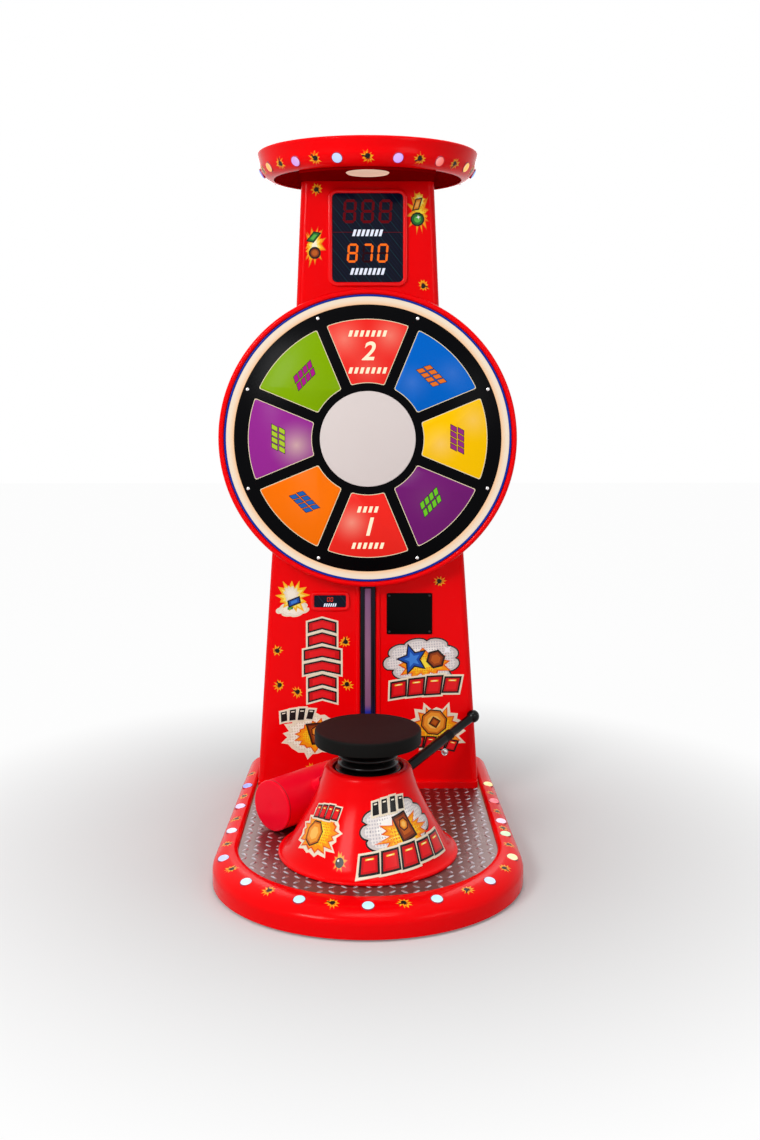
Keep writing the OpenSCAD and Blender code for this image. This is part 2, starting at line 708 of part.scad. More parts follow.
// Pieces inside the cabinet
box_w = 200;
box_d = 150;
box_h = 100;
box_wall = 2;
box_rear_y = cabinet_rear_y - 45;
module cash_box() {
    color("slategray") translate([-box_w / 2, box_rear_y - box_d, deck_top_z]) difference() {
        cube([box_w, box_d, box_h]);
        translate([box_wall, box_wall, box_wall]) cube([box_w - 2 * box_wall, box_d - 2 * box_wall, box_h]);
    }
}
supply_x = 150;
supply_w = 110;
supply_d = 180;
supply_h = 50;
module power_supply() {
    color("lightgray") translate([supply_x, box_rear_y - supply_d, deck_top_z])
        cube([supply_w, supply_d, supply_h]);
}
board_w = 160;
board_h = 200;
board_x = -240;
board_z = credit_z - 228;
board_stand = 12;
module control_board() {
    color("darkgreen") translate([board_x, cabinet_y + cabinet_wall, board_z]) rotate([-90, 0, 0]) {
        for (x = [-1, 1], y = [-1, 1]) translate([x * (board_w / 2 - 10), y * (board_h / 2 - 10), 0])
            cylinder(h = board_stand, r = 4, $fn = 24);
        translate([-board_w / 2, -board_h / 2, board_stand]) cube([board_w, board_h, 2]);
        for (k = [0:2]) translate([-50 + 36 * k, -60, board_stand + 2]) cube([26, 26, 8]);
        translate([-60, 20, board_stand + 2]) cube([120, 40, 16]);
    }
}

// Power inlet with a pocket for its rocker switch
rocker_w = 18;
rocker_r = 12;
rocker_up = 18;
rocker_tilt = 8;
pocket_w = rocker_w + 0.8;
pivot_r = 2;
pivot_y = rear_face_y - 6;
rocker_z = inlet_z + rocker_up;
module power_inlet() {
    color("black") difference() {
        union() {
            on_rear(inlet_x, inlet_z) translate([0, 0, -24]) linear_extrude(24)
                square([inlet_w, inlet_h], center = true);
            on_rear(inlet_x, inlet_z) linear_extrude(3) round_rect(inlet_w + 12, inlet_h + 12, 5);
        }
        translate([inlet_x - pocket_w / 2, pivot_y, rocker_z]) rotate([0, 90, 0])
            cylinder(h = pocket_w, r = rocker_r + 1);
        translate([inlet_x - pocket_w / 2, pivot_y, rocker_z - rocker_r - 1])
            cube([pocket_w, 20, 2 * rocker_r + 2]);
        translate([inlet_x - rocker_w / 2 - 3, pivot_y, rocker_z]) rotate([0, 90, 0])
            cylinder(h = rocker_w + 6, r = pivot_r + pin_gap);
        translate([inlet_x - 14, rear_face_y - 16, inlet_z - 28]) cube([28, 20, 22]);
    }
    color("silver") for (x = [-7, 0, 7]) translate([inlet_x + x - 1, rear_face_y - 17, inlet_z - 19])
        cube([2, 14, 5]);
}
module power_switch() {
    color("firebrick") translate([inlet_x, pivot_y, rocker_z]) rotate([0, 90, 0]) {
        linear_extrude(rocker_w, center = true) rotate(rocker_tilt) intersection() {
            circle(rocker_r);
            polygon([[-rocker_r, 2], [-rocker_r, rocker_r], [0, 8.5], [rocker_r, rocker_r], [rocker_r, 2],
                [0, -6]]);
        }
        cylinder(h = rocker_w + 5, r = pivot_r, center = true);
    }
}

// Wheel: a dished housing on the cabinet's front, with the lit face on a backer inside it
dish_round = 60;
dish_wall = 6;
dish_flat_r = wheel_r - dish_round;
bead_r = bead_w / 2;
inner_r = wheel_r - bead_w;
glow_r = inner_r - blue_ring_w;
face_r = glow_r - glow_ring_w;
pane_outer_r = face_r - pane_inset;
screw_circle_r = face_r - screw_inset;
dish_slope = asin((inner_r - dish_flat_r) / (dish_round - dish_wall));
module wheel_housing() {
    color("red") on_front(0, wheel_z) difference() {
        rotate_extrude($fn = 180) polygon(concat([[0, 0]],
            [for (a = [0:10:90]) [dish_flat_r + dish_round * sin(a), dish_round - dish_round * cos(a)]],
            [for (a = [18:18:180]) [wheel_r - bead_r + bead_r * cos(a), dish_round + bead_r * sin(a)]],
            [for (a = [0:0.2:1]) let(t = dish_slope * (1 - a))
                [dish_flat_r + (dish_round - dish_wall) * sin(t),
                    dish_round - (dish_round - dish_wall) * cos(t)]],
            [[0, dish_wall]]));
        translate([0, 0, -1]) cylinder(h = dish_wall + 2, r = wire_hole_r);
    }
}
stand_r = 8;
stand_circle_r = (pane_inner_r + pane_outer_r) / 2 - 27.5;
module wheel_backer() {
    color("ivory") on_front(0, wheel_z) {
        translate([0, 0, backer_h]) difference() {
            cylinder(h = backer_t, r = inner_r - pane_gap, $fn = 180);
            for (k = [0:pane_count - 1]) rotate(360 * (k + 0.5) / pane_count)
                translate([screw_circle_r, 0, -1]) cylinder(h = backer_t + 2, r = 3 + pin_gap, $fn = 24);
        }
        for (k = [0:5]) rotate(60 * k) translate([stand_circle_r, 0, dish_wall])
            cylinder(h = backer_h - dish_wall + 0.5, r = stand_r, $fn = 24);
    }
}
module face_ring(r_out, r_in, h) {
    on_front(0, wheel_z) translate([0, 0, face_z]) difference() {
        cylinder(h = h, r = r_out, $fn = 180);
        translate([0, 0, -1]) cylinder(h = h + 2, r = r_in, $fn = 180);
    }
}
module blue_trim_ring() {
    color([0, 0.16, 0.6]) face_ring(inner_r - pane_gap, glow_r + pane_gap, face_t + 1.5);
}
module glow_ring() { color("cornsilk") face_ring(glow_r, face_r + pane_gap, face_t + 0.5); }

// One pane in plan, at its own angle clockwise from the top, grown by a margin on every side
module pane_plan(k, grow) {
    turn = 90 - 360 * k / pane_count;
    half = 180 / pane_count;
    reach = 2 * pane_outer_r;
    difference() {
        intersection() {
            circle(pane_outer_r + grow, $fn = 180);
            polygon([[0, 0], reach * [cos(turn - half), sin(turn - half)], reach * [cos(turn), sin(turn)],
                reach * [cos(turn + half), sin(turn + half)]]);
        }
        circle(pane_inner_r - grow, $fn = 180);
        for (s = [-1, 1]) rotate(turn + s * half) translate([0, -spoke_w / 2 + grow])
            square([reach, spoke_w - 2 * grow]);
    }
}
module wheel_face() {
    color([0.02, 0.02, 0.03]) on_front(0, wheel_z) translate([0, 0, face_z]) linear_extrude(face_t)
        difference() {
            circle(face_r, $fn = 180);
            for (k = [0:pane_count - 1]) {
                pane_plan(k, pane_gap);
                rotate(360 * (k + 0.5) / pane_count) translate([screw_circle_r, 0])
                    circle(3 + pin_gap, $fn = 24);
            }
            circle(hub_r + pane_gap, $fn = 180);
        }
}
module pane(k) on_front(0, wheel_z) translate([0, 0, face_z]) linear_extrude(face_t) pane_plan(k, 0);
module pane_red() { color([0.9, 0.08, 0.08]) { pane(0); pane(4); } }
module pane_blue() { color([0, 0.4, 0.8]) pane(1); }
module pane_yellow() { color([1, 0.8, 0]) pane(2); }
module pane_purple() { color([0.47, 0.1, 0.5]) pane(3); }
module pane_orange() { color([1, 0.45, 0]) pane(5); }
module pane_magenta() { color([0.58, 0.15, 0.55]) pane(6); }
module pane_green() { color([0.5, 0.72, 0]) pane(7); }
module hub_disc() {
    color([1, 0.93, 0.92]) on_front(0, wheel_z) translate([0, 0, face_z])
        cylinder(h = face_t + 1, r = hub_r, $fn = 120);
}

// Screws of the wheel's face, and of the cover plate
screw_head_r = 6;
module face_screw(shank_r, shank_len) {
    translate([0, 0, -shank_len]) cylinder(h = shank_len, r = shank_r, $fn = 24);
    rotate_extrude($fn = 24) polygon([[0, 0], [screw_head_r, 0], [screw_head_r - 1, 2.2], [2, 3], [0, 3]]);
}
plate_inset = 9;
module at_plate_screws() for (x = [-1, 1], y = [-1, 1]) on_front(plate_x + x * (plate_w / 2 - plate_inset),
    plate_z + y * (plate_h / 2 - plate_inset)) children();
module face_screws() {
    color("silver") on_front(0, wheel_z) for (k = [0:pane_count - 1])
        rotate(360 * (k + 0.5) / pane_count) translate([screw_circle_r, 0, face_z + face_t])
        face_screw(3, face_t + backer_t - 1);
    color("gray") at_plate_screws() translate([0, 0, plate_t]) scale(0.6) face_screw(3, 0.5);
}

// Displays: a raised red frame round a dark panel that carries the lit digits
frame_r = 24;
module bezel(x, z, w, h, frame, r) {
    on_front(x, z) difference() {
        union() {
            linear_extrude(bezel_h - 3) round_rect(w, h, r);
            translate([0, 0, bezel_h - 3]) linear_extrude(1.5) round_rect(w - 2, h - 2, r - 1);
            translate([0, 0, bezel_h - 1.5]) linear_extrude(1.5) round_rect(w - 5, h - 5, r - 2.5);
        }
        translate([0, 0, -1]) linear_extrude(bezel_h + 2)
            round_rect(w - 2 * frame, h - 2 * frame, r - frame * 0.6);
    }
}
module display_bezel() { color("red") bezel(0, display_z, display_w, display_h, display_frame, frame_r + 8); }
module credit_bezel() { color("red") bezel(-credit_x, credit_z, credit_w, credit_h, credit_frame, 12); }
module panel(x, z, w, h, r) on_front(x, z) linear_extrude(display_t)
    round_rect(w - 2 * pane_gap, h - 2 * pane_gap, r);
module display_panel() {
    color([0.02, 0.03, 0.09]) panel(0, display_z, display_w - 2 * display_frame,
        display_h - 2 * display_frame, frame_r - 1);
}
module credit_panel() {
    color([0.02, 0.03, 0.09]) panel(-credit_x, credit_z, credit_w - 2 * credit_frame,
        credit_h - 2 * credit_frame, 6);
}

// Seven-segment digits: top, upper right, lower right, bottom, lower left, upper left, middle
segments = [[1, 1, 1, 1, 1, 1, 0], [0, 1, 1, 0, 0, 0, 0], [1, 1, 0, 1, 1, 0, 1], [1, 1, 1, 1, 0, 0, 1],
    [0, 1, 1, 0, 0, 1, 1], [1, 0, 1, 1, 0, 1, 1], [1, 0, 1, 1, 1, 1, 1], [1, 1, 1, 0, 0, 0, 0],
    [1, 1, 1, 1, 1, 1, 1], [1, 1, 1, 1, 0, 1, 1]];
digit_h = 0.8;
module bar(x, y, l, t, upright) translate([x, y]) rotate(upright ? 90 : 0)
    polygon([[-l / 2, 0], [(t - l) / 2, t / 2], [(l - t) / 2, t / 2], [l / 2, 0], [(l - t) / 2, -t / 2],
        [(t - l) / 2, -t / 2]]);
module digit(n, w, h) {
    t = h * 0.13;
    x = (w - t) / 2;
    y = (h - t) / 2;
    lit = segments[n];
    spots = [[0, y, 0], [x, y / 2, 1], [x, -y / 2, 1], [0, -y, 0], [-x, -y / 2, 1], [-x, y / 2, 1],
        [0, 0, 0]];
    for (i = [0:6]) if (lit[i] == 1)
        bar(spots[i][0], spots[i][1], (spots[i][2] == 1 ? y : 2 * x) - 1, t, spots[i][2] == 1);
}
module digits(list, h, pitch) linear_extrude(digit_h) for (i = [0:len(list) - 1])
    translate([(i - (len(list) - 1) / 2) * pitch, 0]) digit(list[i], h * 0.62, h);
score_up = 86;
record_up = -50;
module score_digits() {
    color([0.45, 0.02, 0.03]) on_front(0, display_z + score_up) translate([0, 0, display_t])
        digits([8, 8, 8], score_digit_h, score_digit_h * 0.75);
}
module record_digits() {
    color([1, 0.35, 0]) on_front(0, display_z + record_up) translate([0, 0, display_t])
        digits([8, 7, 0], record_digit_h, record_digit_h * 0.82);
}
module credit_digits() {
    color([0.9, 0.2, 0.1]) on_front(-credit_x, credit_z + 5) translate([0, 0, display_t])
        digits([0, 0], 19, 17);
}

// Canopy: a round hood with a flat back, open below over the soffit that stands on the column
canopy_side_r = canopy_r - canopy_draw;
canopy_lip_r = canopy_side_r - canopy_fillet;
crown_r = 7;
round_step = 15;
module canopy_outside(inset) {
    polygon(concat([[0, inset]],
        [for (a = [0:round_step:90]) [canopy_lip_r + (canopy_fillet - inset) * sin(a),
            canopy_fillet - (canopy_fillet - inset) * cos(a)]],
        [for (a = [0:30:90]) [canopy_r - crown_r + (crown_r - inset) * cos(a),
            canopy_h - crown_r + (crown_r - inset) * sin(a)]],
        [[0, canopy_h - inset]]));
}
lamp_turn = 24.3;
lamp_first = 15.5;
lamp_tilt = 59;
lamp_angles = [for (k = [0:4]) lamp_first + lamp_turn * k];
// Moves a lamp or its hole to each place on the canopy's lower round edge
module at_canopy_ring() {
    for (s = [-1, 1], a = lamp_angles) translate([0, canopy_y, canopy_z + canopy_fillet])
        rotate([0, 0, -90 + s * a]) translate([canopy_lip_r, 0, 0]) rotate([0, 180 - lamp_tilt, 0])
        translate([0, 0, canopy_fillet]) children();
}
module canopy_shell() {
    color("red") difference() {
        union() {
            intersection() {
                translate([0, canopy_y, canopy_z]) difference() {
                    rotate_extrude($fn = 180) canopy_outside(0);
                    rotate_extrude($fn = 180) canopy_outside(canopy_wall);
                    translate([0, 0, -1]) cylinder(h = canopy_wall + 2, r = canopy_lip_r, $fn = 180);
                }
                translate([-canopy_r - 1, front_y, 0])
                    cube([2 * canopy_r + 2, base_d - canopy_wall, total_h + 1]);
            }
            intersection() {
                translate([0, canopy_y, canopy_z]) rotate_extrude($fn = 180) canopy_outside(0);
                translate([-canopy_r - 1, rear_y - canopy_wall, 0]) cube([2 * canopy_r + 2, canopy_wall,
                    total_h + 1]);
            }
        }
        at_canopy_ring() translate([0, 0, -2 * lamp_body]) cylinder(h = 3 * lamp_body, r = lamp_r + lamp_gap,
            $fn = 24);
    }
}
module canopy_lamps() {
    color("white") at_canopy_ring() lamp();
}
soffit_half_w = column_top_half_w - 3;
soffit_lamp_y = canopy_y - soffit_lamp_ahead;
// The soffit's plate lies on the canopy's inner round where it laps over the lip
inner_fillet = canopy_fillet - canopy_wall;
soffit_lap = inner_fillet * sin(round_step);
soffit_plate_z = canopy_z + canopy_fillet - inner_fillet * cos(round_step) + pin_gap;
module canopy_soffit() {
    top_t = 4;
    color([0.7, 0, 0.02]) difference() {
        intersection() {
            union() {
                translate([0, canopy_y, soffit_plate_z]) cylinder(h = top_t, r = canopy_lip_r + soffit_lap);
                intersection() {
                    translate([0, canopy_y, column_top_z])
                        cylinder(h = soffit_plate_z + top_t - column_top_z, r = canopy_lip_r - 1);
                    translate([-soffit_half_w, front_y, 0]) cube([2 * soffit_half_w, base_d, total_h]);
                }
            }
            translate([-canopy_r, front_y, 0]) cube([2 * canopy_r, base_d - canopy_wall - pane_gap, total_h]);
        }
        translate([0, soffit_lamp_y, column_top_z - 1]) cylinder(h = 40, r = soffit_lamp_r + pane_gap);
    }
}
module soffit_lamp() {
    color("lightyellow") translate([0, soffit_lamp_y, column_top_z]) {
        cylinder(h = 14, r = soffit_lamp_r);
        translate([0, 0, -4]) rotate_extrude()
            polygon([[0, 0], [soffit_lamp_r, 0], [soffit_lamp_r + 5, 4], [0, 4]]);
    }
}

// Light strip between two ribs of the cabinet, from the wheel down to the strike pad
strip_len = strip_top_z - strip_z;
strip_mid_z = (strip_z + strip_top_z) / 2;
strip_floor = 3;
module strip_channel() {
    color([0.05, 0.05, 0.12]) on_front(0, strip_mid_z) difference() {
        linear_extrude(strip_h) square([strip_w, strip_len], center = true);
        translate([0, 0, strip_floor]) linear_extrude(strip_h)
            square([strip_core_w + 2 * pane_gap, strip_len - 8], center = true);
    }
}
module strip_light() {
    color([0.5, 0.33, 0.45]) on_front(0, strip_mid_z) translate([0, 0, strip_floor])
        linear_extrude(strip_h - strip_floor - 1)
        square([strip_core_w, strip_len - 8 - 2 * pane_gap], center = true);
}
module cover_plate() {
    color([0.03, 0.03, 0.03]) difference() {
        on_front(plate_x, plate_z) linear_extrude(plate_t) round_rect(plate_w, plate_h, 3);
        at_plate_screws() cylinder(h = 3 * plate_t, r = 2.5, center = true, $fn = 24);
    }
}
module key_lock() {
    color("silver") on_front(lock_x, lock_z) difference() {
        union() {
            translate([0, 0, -26]) cylinder(h = 27, r = lock_r);
            translate([0, 0, 0.3]) rotate_extrude($fn = 48)
                polygon([[0, 0], [lock_r + 3, 0], [lock_r + 2, 2.5], [0, 3.2]]);
        }
        translate([-0.7, -4, 1]) cube([1.4, 8, 5]);
    }
}

// Mallet, lying on the tread plate behind the striker with its ball at the cabinet. The rubber neck bends
// from the head to the straight handle. Places are in X, behind the striker's axis, and above the plate.
head_x = -202;
head_behind = 246;
neck_x = 54;
neck_behind = 281;
neck_up = 96;
ball_x = 353;
ball_up = 249.5;
head_mid = [head_x, striker_y + head_behind, tread_z + rest_gap + head_r];
head_dir = [cos(head_turn), sin(head_turn), 0];
neck_rise = 35;
neck_dir = [sin(head_turn) * cos(neck_rise), -cos(head_turn) * cos(neck_rise), sin(neck_rise)];
neck_end = [neck_x, striker_y + neck_behind, tread_z + neck_up];
ball_at = [ball_x, cabinet_y - ball_r - 0.5, tread_z + ball_up];
handle_dir = (ball_at - neck_end) / norm(ball_at - neck_end);
neck_start = head_mid + 20 * neck_dir;
neck_out = head_mid + (head_r + 2 * handle_r) * neck_dir;
neck_pull_a = 60;
neck_pull_b = 80;

// Turns a part so that its Z points along a direction
module along(start, dir) translate(start)
    rotate([0, acos(dir[2] / norm(dir)), atan2(dir[1], dir[0])]) children();

function bezier(a, b, c, d, t) = a * pow(1 - t, 3) + b * 3 * t * pow(1 - t, 2)
    + c * 3 * t * t * (1 - t) + d * pow(t, 3);
neck_steps = 18;
neck_knots = [neck_out, neck_out + neck_pull_a * neck_dir, neck_end - neck_pull_b * handle_dir, neck_end];
neck_path = concat([neck_start, head_mid + head_r * neck_dir],
    [for (i = [0:neck_steps])
        bezier(neck_knots[0], neck_knots[1], neck_knots[2], neck_knots[3], i / neck_steps)]);
function unit(v) = v / norm(v);
function heading(path, i) = i == 0 ? unit(path[1] - path[0])
    : i == len(path) - 1 ? handle_dir : unit(path[i + 1] - path[i - 1]);
neck_sides = 16;
function neck_ring(path, i) = let(h = heading(path, i), side = unit(cross(h, [0, 0, 1])), up = cross(side, h))
    [for (k = [0:neck_sides - 1]) path[i] + handle_r * (cos(360 * k / neck_sides) * side
        + sin(360 * k / neck_sides) * up)];
module mallet_neck() {
    color([0.05, 0.05, 0.05]) loft([for (i = [0:len(neck_path) - 1]) neck_ring(neck_path, i)]);
}
module mallet_head() {
    body_len = head_len - 2 * cap_t;
    color([0.95, 0.05, 0.2]) difference() {
        along(head_mid - head_dir * body_len / 2, head_dir) cylinder(h = body_len, r = head_r);
        along(head_mid + 19 * neck_dir, neck_dir) cylinder(h = head_r + 10, r = handle_r + pane_gap);
    }
}
module mallet_caps() {
    edge = 4;
    color([0.9, 0.04, 0.18]) for (s = [-1, 1])
        along(head_mid + s * head_dir * (head_len / 2 - cap_t), s * head_dir)
        rotate_extrude() polygon(concat([[0, 0], [head_r, 0]],
            [for (a = [0:15:90]) [head_r - edge + edge * cos(a), cap_t - edge + edge * sin(a)]],
            [[0, cap_t]]));
}
module mallet_handle() {
    grip_len = norm(ball_at - neck_end) - handle_len;
    color([0.05, 0.05, 0.05]) along(neck_end, handle_dir) {
        cylinder(h = handle_len - 4, r = handle_r);
        translate([0, 0, handle_len - 4]) cylinder(h = 4, r1 = handle_r, r2 = grip_r);
        translate([0, 0, handle_len]) cylinder(h = grip_len, r = grip_r);
        translate([0, 0, handle_len + grip_len]) sphere(ball_r);
    }
}

base_shell();
floor_frame();
rubber_feet();
deck_board();
tread_plate();
base_lamps();
cone_shell();
post_base();
striker_post();
post_flange();
guide_bush();
impact_sensor();
return_spring();
bellows();
pad_plate();
strike_pad();
plunger_shaft();
stop_collar();
cabinet_shell();
rear_panel();
service_door();
door_hinge();
hinge_pin();
door_lock();
cash_box();
power_supply();
control_board();
power_inlet();
power_switch();
wheel_housing();
wheel_backer();
blue_trim_ring();
glow_ring();
wheel_face();
pane_red();
pane_blue();
pane_yellow();
pane_purple();
pane_orange();
pane_magenta();
pane_green();
hub_disc();
face_screws();
display_bezel();
display_panel();
score_digits();
record_digits();
credit_bezel();
credit_panel();
credit_digits();
canopy_shell();
canopy_soffit();
soffit_lamp();
canopy_lamps();
strip_channel();
strip_light();
cover_plate();
key_lock();
mallet_head();
mallet_caps();
mallet_neck();
mallet_handle();
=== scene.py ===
"""Looks of a high striker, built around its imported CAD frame.

The machine is a red moulded base and cabinet with a lit wheel, a sprung strike pad on a cone, and a soft
mallet. Every length is in metres, in the frame of the CAD model: X right, Y away from the player, Z up.
"""

import json
import logging
import random
from dataclasses import dataclass, field
from enum import Enum
from math import asin, ceil, cos, degrees, hypot, pi, radians, sin
from typing import Callable, Iterable, Protocol, Sequence

import bmesh
import bpy
from mathutils import Matrix, Vector
from mathutils.bvhtree import BVHTree


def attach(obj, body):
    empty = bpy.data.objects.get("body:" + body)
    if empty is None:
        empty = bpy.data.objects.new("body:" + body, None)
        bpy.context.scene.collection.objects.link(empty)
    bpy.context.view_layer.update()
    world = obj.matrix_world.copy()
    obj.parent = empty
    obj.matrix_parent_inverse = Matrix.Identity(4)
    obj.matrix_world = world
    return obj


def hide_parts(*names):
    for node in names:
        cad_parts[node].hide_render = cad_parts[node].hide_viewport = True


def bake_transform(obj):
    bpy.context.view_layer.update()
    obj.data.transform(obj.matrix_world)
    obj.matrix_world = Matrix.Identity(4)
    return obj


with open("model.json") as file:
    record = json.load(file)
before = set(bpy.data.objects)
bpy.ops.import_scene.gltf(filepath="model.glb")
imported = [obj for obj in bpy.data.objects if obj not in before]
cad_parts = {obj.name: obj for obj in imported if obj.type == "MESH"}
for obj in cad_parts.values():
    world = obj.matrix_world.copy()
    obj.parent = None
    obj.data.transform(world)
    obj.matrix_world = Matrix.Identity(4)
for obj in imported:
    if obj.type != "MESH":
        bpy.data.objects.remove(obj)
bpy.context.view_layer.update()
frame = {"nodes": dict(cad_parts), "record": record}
LOG = logging.getLogger("high_striker")

Point2 = tuple[float, float]
Point3 = tuple[float, float, float]
Rgb = tuple[int, int, int]
Spot3 = tuple[Vector, Vector]
Outline = Callable[[float], list[Point2]]
Surface = Callable[[float, float], Spot3]
Piece = bpy.types.Object
Material = bpy.types.Material
Socket = bpy.types.NodeSocket
Tree = bpy.types.NodeTree
MM = 0.001
UP = Vector((0, 0, 1))
WHITE = (1.0, 1.0, 1.0, 1.0)


class Look(Protocol):
    """Anything that gives a piece its material."""

    @property
    def material(self) -> Material:
        """The material."""


def linear(colour: Rgb, share: float = 1.0) -> tuple[float, float, float, float]:
    """Turns a colour as seen on a screen into the linear one that a shader takes.

    Args:
        colour: Red, green and blue from 0 to 255.
        share: Factor on the linear values.

    Returns:
        Red, green, blue and an alpha of 1.
    """
    values = [c / 255 / 12.92 if c <= 10 else ((c / 255 + 0.055) / 1.055) ** 2.4 for c in colour]
    return (values[0] * share, values[1] * share, values[2] * share, 1.0)


def polar(radius: float, angle: float) -> Point2:
    """Point at a radius and an angle in degrees."""
    return radius * cos(radians(angle)), radius * sin(radians(angle))


def round_turns(steps: int) -> list[float]:
    """Angles in radians of even steps round a circle."""
    return [2 * pi * i / steps for i in range(steps)]


def arc(x: float, y: float, radius: float, start: float, end: float, steps: int) -> list[Point2]:
    """Points along a circular arc, both ends among them.

    Args:
        x: Centre of the arc.
        y: Centre of the arc.
        radius: Radius of the arc.
        start: First angle in degrees.
        end: Last angle in degrees.
        steps: Number of pieces that the arc is cut into.

    Returns:
        The points.
    """
    turns = [radians(start + (end - start) * i / steps) for i in range(steps + 1)]
    return [(x + radius * cos(t), y + radius * sin(t)) for t in turns]


def rounded_rect(width: float, height: float, radius: float, steps: int = 8) -> list[Point2]:
    """Outline of a rectangle with round corners, anticlockwise about the origin.

    Args:
        width: Full width.
        height: Full height.
        radius: Radius of the corners.
        steps: Number of pieces in each corner.

    Returns:
        The points of the outline.
    """
    x, y = width / 2 - radius, height / 2 - radius
    corners = [(x, y, 0), (-x, y, 90), (-x, -y, 180), (x, -y, 270)]
    return [p for cx, cy, start in corners for p in arc(cx, cy, radius, start, start + 90, steps)]


def rect_outline(width: float, height: float, radius: float) -> Outline:
    """Outline of a round-cornered rectangle, by the amount that its edge is drawn in."""
    return lambda inset: rounded_rect(width - 2 * inset, height - 2 * inset, max(radius - inset, 0.2 * MM))


def upright(x: float, y: float, z: float) -> Matrix:
    """Place of a piece that stands on its own Z axis."""
    return Matrix.Translation((x, y, z))


def facing_player(x: float, y: float, z: float) -> Matrix:
    """Place of a piece drawn in X and Y whose own Z points to the player."""
    return upright(x, y, z) @ Matrix.Rotation(radians(90), 4, "X")


def along(start: Vector, direction: Vector) -> Matrix:
    """Place of a piece whose own Z axis follows a direction from a start."""
    return Matrix.Translation(start) @ direction.to_track_quat("Z", "Y").to_matrix().to_4x4()


def in_scene(name: str, data: bpy.types.ID) -> Piece:
    """Puts an object with this data into the scene.

    Args:
        name: Name of the object.
        data: Its mesh, curve, light or camera.

    Returns:
        The object.
    """
    made = bpy.data.objects.new(name, data)
    bpy.context.scene.collection.objects.link(made)
    return made


def plain_mesh(source: Piece) -> bpy.types.Mesh:
    """Takes an object's evaluated mesh and removes the object.

    Args:
        source: The object.

    Returns:
        The mesh.
    """
    source.update_tag()
    graph = bpy.context.evaluated_depsgraph_get()
    graph.update()
    mesh = bpy.data.meshes.new_from_object(source.evaluated_get(graph), depsgraph=graph)
    bpy.data.objects.remove(source)
    return mesh


def shade(piece: Piece, sharp_deg: float = 40) -> Piece:
    """Smooths a piece's shading, but keeps edges that are sharper than an angle in degrees.

    Args:
        piece: The piece.
        sharp_deg: Angle from which an edge stays sharp.

    Returns:
        The same piece.
    """
    piece.data.shade_smooth()
    piece.data.set_sharp_from_angle(angle=radians(sharp_deg))
    return piece


def mesh_piece(name: str, points: Iterable[Vector | Point3], faces: Iterable[Sequence[int]],
               look: Look | None, sharp_deg: float = 40, closed: bool = True) -> Piece:
    """Makes a piece from points and faces, at the origin, with its faces outwards.

    Args:
        name: Name of the piece.
        points: Its points in the row frame.
        faces: Its faces as lists of point numbers.
        look: Its finish.
        sharp_deg: Angle from which an edge stays sharp.
        closed: Whether the mesh encloses a volume, so that its normals can be worked out.

    Returns:
        The new piece.
    """
    mesh = bpy.data.meshes.new(name)
    mesh.from_pydata([tuple(p) for p in points], [], [tuple(f) for f in faces])
    if closed:
        work = bmesh.new()
        work.from_mesh(mesh)
        bmesh.ops.remove_doubles(work, verts=work.verts, dist=1e-6)
        bmesh.ops.recalc_face_normals(work, faces=work.faces)
        work.to_mesh(mesh)
        work.free()
    if look:
        mesh.materials.append(look.material)
    return shade(in_scene(name, mesh), sharp_deg)


def merged(name: str, *pieces: Piece) -> Piece:
    """Joins new pieces of one body into the first, keeping their materials.

    Args:
        name: Name of the joined piece.
        *pieces: The pieces, which are used up.

    Returns:
        The joined piece.
    """
    with bpy.context.temp_override(active_object=pieces[0], selected_editable_objects=list(pieces)):
        bpy.ops.object.join()
    pieces[0].name = pieces[0].data.name = name
    return pieces[0]


def dress(piece: Piece, slot: str | None, *nodes: str, body: str = "machine") -> Piece:
    """Lets a finished piece ride on its body and hides what it stands for.

    Args:
        piece: The piece, at its place in the row frame.
        slot: Material slot of the record; not used.
        *nodes: CAD nodes that it stands for.
        body: CAD body that it moves with.

    Returns:
        The same piece.
    """
    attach(piece, body)
    if nodes:
        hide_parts(*nodes)
    triangles = sum(len(p.vertices) - 2 for p in piece.data.polygons)
    LOG.info("%s: on %s, %d triangles", piece.name, body, triangles)
    return piece


def lathe(name: str, profile: Sequence[Point2], place: Matrix, look: Look | None, steps: int = 96,
          ring: bool = False, sharp_deg: float = 40) -> Piece:
    """Turns a profile round its own Z axis.

    Args:
        name: Name of the piece.
        profile: Radius and height of each point; a radius of 0 closes the shape on the axis.
        place: Where the axis stands.
        look: Finish of the piece.
        steps: Number of steps round the axis.
        ring: Whether the profile's last point joins its first.
        sharp_deg: Angle from which an edge stays sharp.

    Returns:
        The turned piece.
    """
    points: list[Vector] = []
    rows: list[list[int]] = []
    for radius, height in profile:
        turns = [0.0] if radius < 1e-7 else round_turns(steps)
        rows.append([len(points) + i % len(turns) for i in range(steps)])
        points += [place @ Vector((radius * cos(t), radius * sin(t), height)) for t in turns]
    faces = []
    for row, after in zip(rows, rows[1:] + ([rows[0]] if ring else [])):
        for i in range(steps):
            j = (i + 1) % steps
            corners = list(dict.fromkeys((row[i], row[j], after[j], after[i])))
            if len(corners) > 2:
                faces.append(corners)
    return mesh_piece(name, points, faces, look, sharp_deg)


